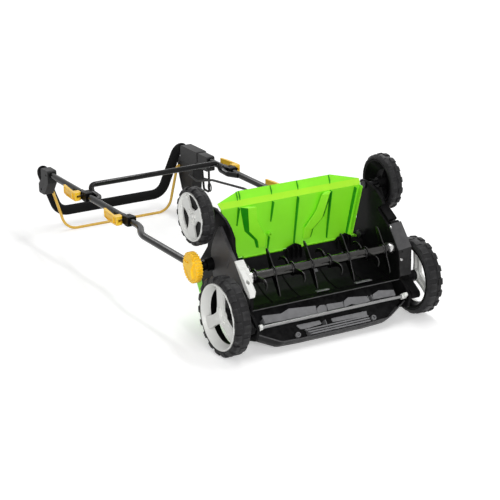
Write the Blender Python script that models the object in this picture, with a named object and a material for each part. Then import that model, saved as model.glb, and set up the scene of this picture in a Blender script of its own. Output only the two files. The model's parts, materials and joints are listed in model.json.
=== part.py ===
# An electric lawn scarifier lying on its nose and on its hanging bail bar.
# Every piece is drawn in the upright machine frame: x to the right of the operator,
# y forward, z up, with the origin on the line through the two front wheels.
# One parent empty then tips the whole machine into the pose it rests in.
import bpy
import bmesh
from math import sin, cos, pi, radians, hypot
from mathutils import Matrix, Vector

# Stance of the machine
TILT = radians(231.6)
FLOOR_DROP = 0.09625
CENTRE_Y = 0.5431

# Wheels
FRONT_RADIUS = 0.0963
FRONT_WIDTH = 0.043
FRONT_OUTER = 0.288
REAR_RADIUS = 0.0706
REAR_WIDTH = 0.035
REAR_OUTER = 0.280
REAR_Y = -0.246
REAR_Z = -0.0257
STUB_RADIUS = 0.006

# Rotor with its blades
ROTOR_Y = -0.067
ROTOR_Z = -0.042
ROTOR_TUBE = 0.0105
BLADE_REACH = 0.062
BLADE_THICK = 0.0026
BLADE_PITCH = 0.0515
BLADE_COUNT = 8

# Height setting rod carrying the front wheels
ROD_Y = 0.052
ROD_Z = -0.020
ROD_RADIUS = 0.0045

# Deck
GAP = 0.0003
WALL = 0.003
PLATE_IN = 0.2085
PLATE_OUT = 0.2155
SKIRT_OUT = 0.2400
LEFT_SKIRT_OUT = 0.2235
LAND_IN = 0.2090
NOSE_LOW = -0.006

# Rear flap
HINGE_Y = -0.154
HINGE_Z = 0.068

# Motor
MOTOR_Y = -0.100
MOTOR_Z = 0.128
MOTOR_RADIUS = 0.042
BELT_X = 0.229

# Handle
HANDLE_ANGLE = radians(129.45)
HANDLE_Y = -0.158
HANDLE_Z = 0.084
PIVOT_S = -0.0267
PIVOT_W = 0.0116
TUBE_RADIUS = 0.009
LOWER_X = 0.250
LEG_X = 0.1990
CAM_RADIUS = 0.0115
UPPER_X = 0.222
FOLD_LOW = 0.435
FOLD_HIGH = 0.690
FOAM_RADIUS = 0.0145
KNOB_RADIUS = 0.038
BAIL_RADIUS = 0.004
BAIL_S = 0.9620
BAIL_W = -0.0520

# Looks: colour, metallic, roughness
BLACK = ((0.012, 0.012, 0.013), 0.0, 0.5)
GREY = ((0.07, 0.07, 0.075), 0.0, 0.5)
STEEL = ((0.55, 0.56, 0.57), 1.0, 0.3)
DARK_STEEL = ((0.03, 0.03, 0.032), 0.6, 0.4)
WHITE = ((0.75, 0.76, 0.74), 0.0, 0.4)
GREEN = ((0.16, 0.62, 0.015), 0.0, 0.35)
YELLOW = ((0.9, 0.5, 0.02), 0.0, 0.4)
OCHRE = ((0.62, 0.42, 0.08), 0.2, 0.35)
TYRE = ((0.015, 0.015, 0.016), 0.0, 0.8)
GLOSS = ((0.008, 0.008, 0.009), 0.2, 0.15)
FOAM = ((0.018, 0.018, 0.019), 0.0, 0.95)


# Scene helpers
def clear_scene():
    for item in list(bpy.data.objects):
        bpy.data.objects.remove(item, do_unlink=True)


def make_material(name, colour, metallic, roughness):
    mat = bpy.data.materials.new(name)
    mat.use_nodes = True
    shader = mat.node_tree.nodes["Principled BSDF"]
    shader.inputs["Base Color"].default_value = (*colour, 1.0)
    shader.inputs["Metallic"].default_value = metallic
    shader.inputs["Roughness"].default_value = roughness
    return mat


def add_piece(name, bm, look, pivot, smooth=False):
    shift = Vector(pivot)
    bmesh.ops.remove_doubles(bm, verts=bm.verts, dist=1e-6)
    bmesh.ops.recalc_face_normals(bm, faces=bm.faces)
    bmesh.ops.translate(bm, verts=bm.verts, vec=-shift)
    mesh = bpy.data.meshes.new(name)
    bm.to_mesh(mesh)
    bm.free()
    piece = bpy.data.objects.new(name, mesh)
    bpy.context.scene.collection.objects.link(piece)
    piece.parent = STANCE
    piece.location = shift
    mesh.materials.append(make_material(name, *look))
    for face in mesh.polygons:
        face.use_smooth = smooth
    return piece


def combine(base, steps):
    """Joins or cuts plain solids and gives back one body."""
    scene = bpy.context.scene
    holders = []
    for bm in [base] + [part for mode, part in steps]:
        bmesh.ops.recalc_face_normals(bm, faces=bm.faces)
        mesh = bpy.data.meshes.new("blank")
        bm.to_mesh(mesh)
        bm.free()
        holder = bpy.data.objects.new("blank", mesh)
        scene.collection.objects.link(holder)
        holders.append(holder)
    for (mode, part), holder in zip(steps, holders[1:]):
        step = holders[0].modifiers.new("step", "BOOLEAN")
        step.operation = mode
        step.solver = "EXACT"
        step.object = holder
    graph = bpy.context.evaluated_depsgraph_get()
    done = bpy.data.meshes.new_from_object(holders[0].evaluated_get(graph))
    result = bmesh.new()
    result.from_mesh(done)
    for holder in holders:
        bpy.data.objects.remove(holder, do_unlink=True)
    return result


# Outline helpers, all in the plane of y and z
def fillet(points, radius, steps=3, closed=True):
    out = []
    count = len(points)
    for i, corner in enumerate(points):
        here = Vector(corner)
        if not closed and i in (0, count - 1):
            out.append(here)
            continue
        before = (Vector(points[i - 1]) - here)
        after = (Vector(points[(i + 1) % count]) - here)
        turn = before.angle(after)
        reach = radius / max(0.05, abs(sin(turn / 2) / cos(turn / 2)))
        reach = min(reach, before.length * 0.45, after.length * 0.45)
        start = here + before.normalized() * reach
        end = here + after.normalized() * reach
        for k in range(steps + 1):
            t = k / steps
            out.append(start * (1 - t) ** 2 + here * 2 * t * (1 - t) + end * t * t)
    return out


def circle(y, z, radius, sides=18, turn=0.0):
    return [(y + radius * cos(turn + 2 * pi * k / sides),
             z + radius * sin(turn + 2 * pi * k / sides)) for k in range(sides)]


def prism(outline, x0, x1):
    bm = bmesh.new()
    low = [bm.verts.new((x0, p[0], p[1])) for p in outline]
    high = [bm.verts.new((x1, p[0], p[1])) for p in outline]
    count = len(outline)
    bm.faces.new(low)
    bm.faces.new(list(reversed(high)))
    for i in range(count):
        j = (i + 1) % count
        bm.faces.new((low[i], high[i], high[j], low[j]))
    return bm


def block(x0, x1, y0, y1, z0, z1):
    return prism([(y0, z0), (y1, z0), (y1, z1), (y0, z1)], x0, x1)


def sheet(path, thick, x0, x1):
    """A bent sheet: the path is its inner side, the thickness lies to the left of it."""
    outer = []
    count = len(path)
    for i in range(count):
        a = Vector(path[max(0, i - 1)])
        b = Vector(path[min(count - 1, i + 1)])
        along = (b - a).normalized()
        outer.append(Vector(path[i]) + Vector((-along.y, along.x)) * thick)
    return prism([Vector(p) for p in path] + outer[::-1], x0, x1)


def lathe(profile, y, z, sides=24):
    """Turns a closed outline of (x, radius) pairs about a line along x."""
    bm = bmesh.new()
    rings = []
    for px, pr in profile:
        if pr < 1e-7:
            rings.append([bm.verts.new((px, y, z))])
        else:
            rings.append([bm.verts.new((px, y + pr * cos(2 * pi * k / sides),
                                        z + pr * sin(2 * pi * k / sides)))
                          for k in range(sides)])
    count = len(rings)
    for i in range(count):
        a = rings[i]
        b = rings[(i + 1) % count]
        if len(a) == 1 and len(b) == 1:
            continue
        for k in range(sides):
            m = (k + 1) % sides
            if len(a) == 1:
                bm.faces.new((a[0], b[m], b[k]))
            elif len(b) == 1:
                bm.faces.new((a[k], a[m], b[0]))
            else:
                bm.faces.new((a[k], a[m], b[m], b[k]))
    return bm


# Tube helpers
def bend(points, radius, steps=5):
    """Rounds the corners of a path in space with true arcs."""
    out = [Vector(points[0])]
    for i in range(1, len(points) - 1):
        here = Vector(points[i])
        before = (Vector(points[i - 1]) - here).normalized()
        after = (Vector(points[i + 1]) - here).normalized()
        size = radius[i - 1] if isinstance(radius, (list, tuple)) else radius
        half = before.angle(after) / 2
        reach = size * cos(half) / sin(half)
        middle = here + (before + after).normalized() * (size / sin(half))
        start = here + before * reach
        end = here + after * reach
        first = start - middle
        last = end - middle
        sweep = first.angle(last)
        for k in range(steps + 1):
            t = k / steps
            a = sin((1 - t) * sweep) / sin(sweep)
            b = sin(t * sweep) / sin(sweep)
            out.append(middle + first * a + last * b)
    out.append(Vector(points[-1]))
    return out


def cut_path(path, start, end):
    """The stretch of a path between two lengths measured from its first point."""
    out = []
    run = 0.0
    for a, b in zip(path, path[1:]):
        step = (b - a).length
        if run + step > start and not out:
            out.append(a.lerp(b, (start - run) / step))
        if out and run + step < end:
            out.append(b.copy())
        if run + step >= end:
            out.append(a.lerp(b, (end - run) / step))
            break
        run += step
    return out


def path_length(path):
    return sum((b - a).length for a, b in zip(path, path[1:]))


def frames(path, first_up):
    """Carries a cross direction along the path without twist."""
    ups = []
    up = Vector(first_up)
    for i in range(len(path)):
        a = path[max(0, i - 1)]
        b = path[min(len(path) - 1, i + 1)]
        along = (b - a).normalized()
        up = (up - along * up.dot(along)).normalized()
        ups.append((along, up.copy()))
    return ups


def sweep(path, radius, sides=12, bore=0.0, first_up=(0.0, 0.3, 1.0)):
    """A round rod along a path, or a sleeve when a bore is given."""
    bm = bmesh.new()
    rows = []
    for point, (along, up) in zip(path, frames(path, first_up)):
        side = along.cross(up)
        row = []
        for size in ([radius, bore] if bore else [radius]):
            row.append([bm.verts.new(point + (up * cos(2 * pi * k / sides)
                                              + side * sin(2 * pi * k / sides)) * size)
                        for k in range(sides)])
        rows.append(row)
    for a, b in zip(rows, rows[1:]):
        for layer in range(len(a)):
            for k in range(sides):
                m = (k + 1) % sides
                bm.faces.new((a[layer][k], a[layer][m], b[layer][m], b[layer][k]))
    for row in (rows[0], rows[-1]):
        if bore:
            for k in range(sides):
                m = (k + 1) % sides
                bm.faces.new((row[0][k], row[0][m], row[1][m], row[1][k]))
        else:
            bm.faces.new(row[0])
    return bm


# The handle frame: s runs up along the tubes, w points to their rear side
def on_handle(x, s, w):
    ca = cos(HANDLE_ANGLE)
    sa = sin(HANDLE_ANGLE)
    return Vector((x, HANDLE_Y + s * ca - w * sa, HANDLE_Z + s * sa + w * ca))


def to_handle(bm):
    turn = Matrix.Rotation(HANDLE_ANGLE, 4, "X")
    move = Matrix.Translation((0.0, HANDLE_Y, HANDLE_Z))
    bmesh.ops.transform(bm, matrix=move @ turn, verts=bm.verts)
    return bm


def mirrored(bm):
    bmesh.ops.transform(bm, matrix=Matrix.Diagonal((-1.0, 1.0, 1.0, 1.0)), verts=bm.verts)
    bmesh.ops.reverse_faces(bm, faces=bm.faces)
    return bm


def on_side(bm, side):
    return mirrored(bm) if side < 0 else bm


def side_name(side):
    return "left" if side < 0 else "right"


# Deck
def hood_path():
    """Inner line of the hood from the flap hinge over the rotor to the cross wall."""
    return fillet([(-0.1500, 0.0700), (-0.1180, 0.0740), (-0.0800, 0.0660), (-0.0450, 0.0500),
                   (-0.0150, 0.0240), (0.0030, -0.0040), (0.0070, -0.0190)], 0.05, 4, False)


def hood_top(y):
    """Height of the outer face of the hood above a place y."""
    path = hood_path()
    for a, b in zip(path, path[1:]):
        if a[0] <= y <= b[0]:
            share = (y - a[0]) / (b[0] - a[0])
            slope = (b[1] - a[1]) / (b[0] - a[0])
            return a[1] + (b[1] - a[1]) * share + WALL * hypot(1.0, slope)
    return path[0][1] + WALL


def chassis_hood():
    """Rotor hood between the side plates, with three lugs for the flap hinge."""
    hood = sheet(hood_path(), WALL, -PLATE_IN + GAP, PLATE_IN - GAP)
    low_lug = fillet([(-0.150, 0.060), (-0.138, 0.060), (-0.132, 0.0745), (-0.150, 0.0725)], 0.002, 2)
    tall_lug = fillet([(-0.1565, 0.0440), (-0.1450, 0.0450), (-0.1320, 0.0745), (-0.1500, 0.0725)],
                      0.002, 2)
    steps = []
    for x, lug, half in ((-0.150, low_lug, 0.010), (0.006, tall_lug, 0.020), (0.150, tall_lug, 0.020)):
        steps.append(("UNION", prism(lug, x - half, x + half)))
    add_piece("chassis_hood", combine(hood, steps), BLACK, (0, -0.06, 0.05))


PLATE_TOP = [(0.078, -0.005), (0.062, 0.030), (0.010, 0.090), (-0.050, 0.142), (-0.140, 0.150),
             (-0.186, 0.125), (-0.196, 0.060)]
PLATE_TAIL = [(-0.2660, -0.0180), (-0.2540, -0.0340), (-0.2310, -0.0515), (-0.2085, -0.0655),
              (-0.1850, -0.0715)]
LEFT_LOW = [(-0.1570, -0.0720), (-0.1400, -0.0590), (-0.1300, -0.0535), (-0.0100, -0.0535),
            (0.0060, -0.0400), (0.0140, -0.0240), (0.0300, -0.0300), (0.0600, -0.0330)]
RIGHT_LOW = [(-0.1700, -0.0710), (-0.1760, -0.0400), (-0.1250, -0.0560), (-0.0900, -0.0590),
             (-0.0500, -0.0590), (0.0060, -0.0200), (0.0300, -0.0300), (0.0600, -0.0330)]


def left_skirt():
    """Raised flat field on the outside of the left plate, with a boss for the handle bolt."""
    field = fillet([(-0.2050, -0.0440), (-0.1100, -0.0540), (-0.0600, -0.0540), (-0.0600, 0.0200),
                    (-0.1200, 0.0850), (-0.1700, 0.0850), (-0.1900, 0.0260)], 0.005, 3)
    pivot = on_handle(0.0, PIVOT_S, PIVOT_W)
    boss = circle(pivot.y, pivot.z, 0.016, 24)
    return [("UNION", prism(field, PLATE_OUT - 0.0005, LEFT_SKIRT_OUT)),
            ("UNION", prism(boss, PLATE_OUT - 0.0005, SKIRT_OUT))]


def right_skirt():
    """Thin walled box in front of the right rear wheel, and the ear for the handle bolt."""
    shell = fillet([(-0.2320, -0.0240), (-0.1320, -0.0610), (-0.1320, 0.0200), (-0.2320, 0.0200)],
                   0.004, 3)
    room = [(-0.2290, -0.0210), (-0.1350, -0.0560), (-0.1350, 0.0400), (-0.2290, 0.0400)]
    ear = fillet([(-0.190, 0.026), (-0.1300, 0.026), (-0.1300, 0.082), (-0.184, 0.085)], 0.016, 3)
    return [("UNION", prism(shell, PLATE_OUT - 0.0005, SKIRT_OUT)),
            ("DIFFERENCE", prism(room, PLATE_OUT, SKIRT_OUT - WALL)),
            ("UNION", prism(ear, PLATE_OUT - 0.0005, 0.2395))]


def plate_bores(side):
    """Clearance for the rod, the rear stub axles, the handle bolt and the two shafts."""
    cuts = []
    pivot = on_handle(0.0, PIVOT_S, PIVOT_W)
    bores = [(ROD_Y, ROD_Z, ROD_RADIUS + GAP), (REAR_Y, REAR_Z, STUB_RADIUS + GAP),
             (pivot.y, pivot.z, 0.0053)]
    if side > 0:
        bores += [(ROTOR_Y, ROTOR_Z, 0.0135), (MOTOR_Y, MOTOR_Z, 0.0110)]
    for y, z, size in bores:
        cuts.append(("DIFFERENCE", prism(circle(y, z, size, 16), PLATE_IN - 0.02, PLATE_OUT + 0.03)))
    return cuts


def side_plates():
    for side, low, skirt in ((-1, LEFT_LOW, left_skirt), (1, RIGHT_LOW, right_skirt)):
        outline = fillet(PLATE_TAIL + low + PLATE_TOP, 0.006, 2)
        plate = combine(prism(outline, PLATE_IN, PLATE_OUT), skirt() + plate_bores(side))
        add_piece("side_plate_" + side_name(side), on_side(plate, side), BLACK,
                  (side * 0.21, -0.1, 0.0))


def nose_shell():
    """Front shell: a skin with a swept rim, open below and behind."""
    half = PLATE_IN - GAP
    rim = [(-half, 0.062), (-0.150, 0.0940), (-0.090, 0.0962), (0.090, 0.0962),
           (0.150, 0.0940), (half, 0.062)]
    levels = [(NOSE_LOW, 0.0), (0.030, 0.0), (0.050, 0.0165), (0.096, 0.0535)]
    bm = bmesh.new()
    sheets = []
    for inset in (0.0, WALL):
        grid = []
        for z, back in levels:
            row = []
            for x, y in rim:
                keep = 1.0 - 0.35 * (z - NOSE_LOW) / 0.1 if abs(x) > 0.2 else 1.0
                shift = back * keep
                nearest = max(-half + inset, min(half - inset, x))
                row.append(bm.verts.new((nearest, y - shift - inset * 1.25, z)))
            grid.append(row)
        sheets.append(grid)
    outer, inner = sheets
    for grid in sheets:
        for r in range(len(levels) - 1):
            for c in range(len(rim) - 1):
                bm.faces.new((grid[r][c], grid[r][c + 1], grid[r + 1][c + 1], grid[r + 1][c]))
    last_row = len(levels) - 1
    last_col = len(rim) - 1
    for c in range(last_col):
        bm.faces.new((outer[0][c], outer[0][c + 1], inner[0][c + 1], inner[0][c]))
        bm.faces.new((outer[last_row][c], outer[last_row][c + 1],
                      inner[last_row][c + 1], inner[last_row][c]))
    for r in range(last_row):
        bm.faces.new((outer[r][0], outer[r + 1][0], inner[r + 1][0], inner[r][0]))
        bm.faces.new((outer[r][last_col], outer[r + 1][last_col],
                      inner[r + 1][last_col], inner[r][last_col]))
    add_piece("nose_shell", bm, BLACK, (0, 0.09, 0.03))


def plan(outline, z0, z1):
    """Solid from an outline in the plane of x and y."""
    bm = prism(outline, z0, z1)
    turn = Matrix(((0, 1, 0, 0), (0, 0, 1, 0), (1, 0, 0, 0), (0, 0, 0, 1)))
    bmesh.ops.transform(bm, matrix=turn, verts=bm.verts)
    return bm


def front_grille():
    """Floor panel of the nose with long bars, vent windows and two screw bosses."""
    low = NOSE_LOW - GAP - 0.0035
    high = NOSE_LOW - GAP
    half = [(0.190, 0.0135), (0.190, 0.0440), (0.1240, 0.0480), (0.1180, 0.0935), (0.090, 0.0940)]
    base = plan(half + [(-x, y) for x, y in half[::-1]], low, high)
    steps = []
    for k in range(4):
        y = 0.0600 + k * 0.0080
        steps.append(("DIFFERENCE", block(-0.088, 0.096, y, y + 0.0046, low - 0.01, high + 0.01)))
    for x0, x1 in ((-0.178, -0.126), (-0.118, -0.045), (-0.036, -0.010), (0.042, 0.110),
                   (0.128, 0.182)):
        window = [(x0, 0.0210), (x1, 0.0250), (x1 - 0.006, 0.0480), (x0, 0.0440)]
        steps.append(("DIFFERENCE", plan(window, low - 0.01, high + 0.01)))
    for x in (-0.1045, 0.1074):
        boss = lathe([(0.0, 0.0), (0.0, 0.0055), (0.0060, 0.0055), (0.0060, 0.0)], 0.0, 0.0, 20)
        turn = Matrix.Translation((x, 0.0850, high - 0.0010)) @ Matrix.Rotation(pi / 2, 4, "Y")
        bmesh.ops.transform(boss, matrix=turn, verts=boss.verts)
        steps.append(("UNION", boss))
    add_piece("front_grille", combine(base, steps), GREY, (0, 0.055, low))


def motor_cover():
    """Tall top cover: a skin over the motor, open below, with vent slots in its sides."""
    outline = fillet([(-0.1570, 0.0800), (-0.1725, 0.1000), (-0.1700, 0.1980), (-0.1200, 0.2060),
                      (-0.0600, 0.1820), (0.0100, 0.1285), (0.0405, 0.1000), (0.0150, 0.0960)],
                     0.014, 4)
    inside = fillet([(-0.1510, 0.0700), (-0.1690, 0.1010), (-0.1662, 0.1940), (-0.1210, 0.2025),
                     (-0.0620, 0.1785), (0.0080, 0.1260), (0.0300, 0.1040), (0.0150, 0.0750)],
                    0.010, 4)
    steps = [("DIFFERENCE", prism(inside, -0.1995, 0.1995))]
    for side in (-1, 1):
        for k in range(6):
            y = -0.145 + k * 0.017
            slot = block(side * 0.203 - 0.008, side * 0.203 + 0.008, y, y + 0.007, 0.150, 0.178)
            steps.append(("DIFFERENCE", slot))
    steps.append(("DIFFERENCE", prism(circle(MOTOR_Y, MOTOR_Z, 0.0088, 16), 0.190, 0.210)))
    cover = combine(prism(outline, -0.203, 0.203), steps)
    add_piece("motor_cover", cover, GREEN, (0, -0.06, 0.15))


def motor_housing():
    """Motor can with cooling ribs, end caps and two saddle feet on the hood."""
    y, z, r = MOTOR_Y, MOTOR_Z, MOTOR_RADIUS
    profile = [(0.030, 0.0)]
    profile += [(0.030, 0.022), (0.036, 0.030), (0.040, r)]
    for k in range(4):
        x = 0.056 + k * 0.024
        profile += [(x, r), (x + 0.002, r - 0.004), (x + 0.007, r - 0.004), (x + 0.009, r)]
    profile += [(0.160, r), (0.164, 0.030), (0.170, 0.022), (0.170, 0.0085), (0.100, 0.0085),
                (0.100, 0.0)]
    foot = [(y + d, hood_top(y + d) + 0.0008) for d in (-0.026, -0.014, -0.002, 0.010, 0.022)]
    foot += [(y + 0.022, z - r + 0.014), (y - 0.026, z - r + 0.014)]
    steps = [("UNION", prism(foot, x, x + 0.012)) for x in (0.0405, 0.1385)]
    add_piece("motor_housing", combine(lathe(profile, y, z, 18), steps), GREY, (0.1, y, z))


def motor_shaft():
    y, z = MOTOR_Y, MOTOR_Z
    profile = [(0.1005, 0.0), (0.1005, 0.0080), (0.1990, 0.0080), (0.1990, 0.0075),
               (0.2175, 0.0075), (0.2175, 0.0120), (0.2190, 0.0120), (0.2190, 0.0090),
               (0.2350, 0.0090), (0.2350, 0.0120), (0.2365, 0.0120), (0.2365, 0.0)]
    add_piece("motor_shaft", lathe(profile, y, z, 20), STEEL, (0.2, y, z))


def rotor_pulley():
    y, z = ROTOR_Y, ROTOR_Z
    profile = [(0.2175, 0.0083), (0.2175, 0.0185), (0.2190, 0.0185), (0.2190, 0.0155),
               (0.2350, 0.0155), (0.2350, 0.0185), (0.2365, 0.0185), (0.2365, 0.0083)]
    add_piece("rotor_pulley", lathe(profile, y, z, 24), DARK_STEEL, (0.229, y, z))


def belt_outline(grow):
    a = Vector((ROTOR_Y, ROTOR_Z))
    b = Vector((MOTOR_Y, MOTOR_Z))
    ra = 0.0155 + grow
    rb = 0.0090 + grow
    along = (b - a)
    gap = along.length
    base = along.angle_signed(Vector((1.0, 0.0)))
    lean = (ra - rb) / gap
    spread = pi / 2 - lean
    out = []
    for k in range(19):
        t = base + spread + (2 * pi - 2 * spread) * k / 18
        out.append((a.x + ra * cos(t), a.y + ra * sin(t)))
    for k in range(13):
        t = base - spread + 2 * spread * k / 12
        out.append((b.x + rb * cos(t), b.y + rb * sin(t)))
    return out


def drive_belt():
    outer = prism(belt_outline(0.0026), 0.2195, 0.2345)
    inner = prism(belt_outline(GAP), 0.2100, 0.2450)
    add_piece("drive_belt", combine(outer, [("DIFFERENCE", inner)]), TYRE, (0.229, -0.05, 0.04))


def slab(first, last):
    """Solid between two outlines with the same number of corners."""
    bm = bmesh.new()
    low = [bm.verts.new(p) for p in first]
    high = [bm.verts.new(p) for p in last]
    bm.faces.new(low)
    bm.faces.new(high[::-1])
    for i in range(len(low)):
        j = (i + 1) % len(low)
        bm.faces.new((low[i], low[j], high[j], high[i]))
    bmesh.ops.triangulate(bm, faces=bm.faces)
    bmesh.ops.recalc_face_normals(bm, faces=bm.faces)
    return bm


def belt_cover():
    """Right hand skirt: a shallow box over the belt, with two slanted lands screwed from below."""
    outline = fillet([(-0.1290, -0.0640), (-0.0430, -0.0640), (-0.0430, -0.020),
                      (-0.0720, 0.130), (-0.0860, 0.152), (-0.1140, 0.152), (-0.1290, 0.130)],
                     0.006, 3)
    inner = fillet([(-0.1260, -0.0615), (-0.0460, -0.0615), (-0.0460, -0.020),
                    (-0.0750, 0.129), (-0.0880, 0.149), (-0.1125, 0.149), (-0.1260, 0.129)],
                   0.005, 3)
    rear = [(LAND_IN, -0.1200, -0.0622), (SKIRT_OUT, -0.1200, -0.0720), (SKIRT_OUT, -0.1200, -0.0640),
            (LAND_IN, -0.1200, -0.0596)]
    fold = [(LAND_IN, -0.0500, -0.0622), (SKIRT_OUT, -0.0500, -0.0740), (SKIRT_OUT, -0.0500, -0.0640),
            (LAND_IN, -0.0500, -0.0596)]
    front = [(LAND_IN, 0.0040, -0.0262), (SKIRT_OUT, 0.0040, -0.0290), (SKIRT_OUT, 0.0040, -0.0265),
             (LAND_IN, 0.0040, -0.0236)]
    steps = [("DIFFERENCE", prism(inner, PLATE_OUT - 0.01, 0.2382)),
             ("UNION", slab(rear, fold)), ("UNION", slab(fold, front))]
    cover = combine(prism(outline, PLATE_OUT + GAP, SKIRT_OUT), steps)
    add_piece("belt_cover", cover, BLACK, (0.23, -0.07, 0.04))


def bearing_bracket():
    """Pale bar under the left bearing, with a diamond opening and a seat for the bearing."""
    side_view = [(-0.1075, -0.0545), (-0.1075, -0.0572), (-0.0750, -0.0630), (-0.0475, -0.0672),
                 (-0.0180, -0.0698), (-0.0095, -0.0670), (-0.0095, -0.0610), (-0.0200, -0.0580),
                 (-0.0350, -0.0545)]
    top_view = [(-0.2235, -0.1080), (-0.2000, -0.1080), (-0.2000, -0.0780), (-0.2050, -0.0720),
                (-0.2050, -0.0225), (-0.2110, -0.0090), (-0.2235, -0.0090)]
    seat = fillet([(-0.0860, -0.0580), (-0.0860, -0.0400), (-0.0800, -0.0300), (-0.0540, -0.0300),
                   (-0.0480, -0.0400), (-0.0480, -0.0580)], 0.003, 3)
    diamond = [(-0.2150, -0.0550), (-0.2100, -0.0475), (-0.2150, -0.0400), (-0.2200, -0.0475)]
    steps = [("INTERSECT", plan(top_view, -0.080, -0.050)),
             ("UNION", prism(seat, -0.2075, -0.1960)),
             ("DIFFERENCE", prism(circle(ROTOR_Y, ROTOR_Z, 0.0133, 20), -0.2082, -0.19)),
             ("DIFFERENCE", plan(diamond, -0.090, -0.050))]
    add_piece("bearing_bracket", combine(prism(side_view, -0.2240, -0.1990), steps), WHITE,
              (-0.2, ROTOR_Y, ROTOR_Z))


def bearings():
    spots = ((-1, -0.2070, -0.1960), (1, 0.1945, 0.2070))
    for side, x0, x1 in spots:
        profile = [(x0, 0.0083), (x0, 0.0120), (x0 + 0.001, 0.0130), (x1, 0.0130), (x1, 0.0083)]
        add_piece("bearing_" + side_name(side), lathe(profile, ROTOR_Y, ROTOR_Z, 20), STEEL,
                  (x0, ROTOR_Y, ROTOR_Z), True)


# Rotor
def rotor_tube():
    profile = [(-0.2070, 0.0), (-0.2070, 0.0080), (-0.1905, 0.0080), (-0.1895, ROTOR_TUBE),
               (0.1890, ROTOR_TUBE), (0.1900, 0.0080), (0.2370, 0.0080), (0.2370, 0.0)]
    add_piece("rotor_tube", lathe(profile, ROTOR_Y, ROTOR_Z, 20), DARK_STEEL,
              (0.0, ROTOR_Y, ROTOR_Z))


def blade_outline(turn):
    """Two curved arms with hooked tips around a round middle."""
    arm = [(0.0165, 0.0030), (0.0240, 0.0085), (0.0360, 0.0125), (0.0470, 0.0120),
           (0.0560, 0.0070), (0.0610, -0.0020), (0.0600, -0.0095), (0.0540, -0.0035),
           (0.0470, -0.0005), (0.0380, -0.0015), (0.0280, -0.0065), (0.0190, -0.0105)]
    points = []
    for half in (0, 1):
        base = turn + half * pi
        for k in range(3):
            t = radians(140 - 40 * k)
            points.append((0.0185 * cos(t + base), 0.0185 * sin(t + base)))
        for px, py in arm:
            points.append((px * cos(base) - py * sin(base), px * sin(base) + py * cos(base)))
    return [(ROTOR_Y + p[0], ROTOR_Z + p[1]) for p in points]


def blades():
    first = -BLADE_PITCH * (BLADE_COUNT - 1) / 2
    for k in range(BLADE_COUNT):
        x = first + k * BLADE_PITCH
        turn = radians(30) if k % 2 else radians(-57)
        plate = prism(blade_outline(turn), x - BLADE_THICK / 2, x + BLADE_THICK / 2)
        bore = prism(circle(ROTOR_Y, ROTOR_Z, ROTOR_TUBE + GAP, 16), x - 0.01, x + 0.01)
        add_piece("blade_%d" % (k + 1), combine(plate, [("DIFFERENCE", bore)]), DARK_STEEL,
                  (x, ROTOR_Y, ROTOR_Z))


# Height setting
def depth_rod():
    profile = [(-0.2430, 0.0), (-0.2430, ROD_RADIUS), (0.2430, ROD_RADIUS), (0.2430, 0.0)]
    add_piece("depth_rod", lathe(profile, ROD_Y, ROD_Z, 14), STEEL, (0, ROD_Y, ROD_Z), True)


def depth_cranks():
    outline = fillet([(ROD_Y - 0.0065, ROD_Z + 0.012), (ROD_Y - 0.0080, ROD_Z),
                      (ROD_Y - 0.0060, ROD_Z - 0.013), (ROD_Y + 0.0060, ROD_Z - 0.013),
                      (ROD_Y + 0.0080, ROD_Z), (ROD_Y + 0.0065, ROD_Z + 0.012)], 0.004, 3)
    for side in (-1, 1):
        bore = prism(circle(ROD_Y, ROD_Z, ROD_RADIUS + GAP, 14), 0.1, 0.3)
        crank = combine(prism(outline, 0.1985, 0.2065), [("DIFFERENCE", bore)])
        add_piece("depth_crank_" + side_name(side), on_side(crank, side), WHITE,
                  (side * 0.2025, ROD_Y, ROD_Z))


def depth_arms():
    """Arm on each rod end carrying the stub axle of a front wheel."""
    for side in (-1, 1):
        along = Vector((-ROD_Y, -ROD_Z)).normalized()
        cross = Vector((-along.y, along.x))
        rod = Vector((ROD_Y, ROD_Z))
        length = hypot(ROD_Y, ROD_Z)
        outline = []
        for k in range(9):
            t = pi / 2 + pi * k / 8
            outline.append(rod + (along * cos(t) + cross * sin(t)) * 0.011)
        for k in range(9):
            t = -pi / 2 + pi * k / 8
            outline.append(rod + along * length + (along * cos(t) + cross * sin(t)) * 0.0125)
        arm = prism(outline, 0.2190, 0.2435)
        stub = lathe([(0.240, 0.0), (0.240, STUB_RADIUS), (0.2840, STUB_RADIUS), (0.2840, 0.0)],
                     0.0, 0.0, 24)
        steps = [("UNION", stub)]
        if side < 0:
            lever = fillet([(ROD_Y - 0.006, ROD_Z + 0.006), (ROD_Y + 0.0090, ROD_Z + 0.004),
                            (0.0600, 0.020), (0.0400, 0.068), (0.0290, 0.066), (0.0460, 0.016)],
                           0.004, 3)
            steps.append(("UNION", prism(lever, 0.2190, 0.2270)))
        steps.append(("DIFFERENCE", prism(circle(ROD_Y, ROD_Z, ROD_RADIUS + GAP, 14), 0.1, 0.3)))
        piece = combine(arm, steps)
        add_piece("depth_arm_" + side_name(side), on_side(piece, side), BLACK,
                  (side * 0.23, ROD_Y, ROD_Z))


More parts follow.
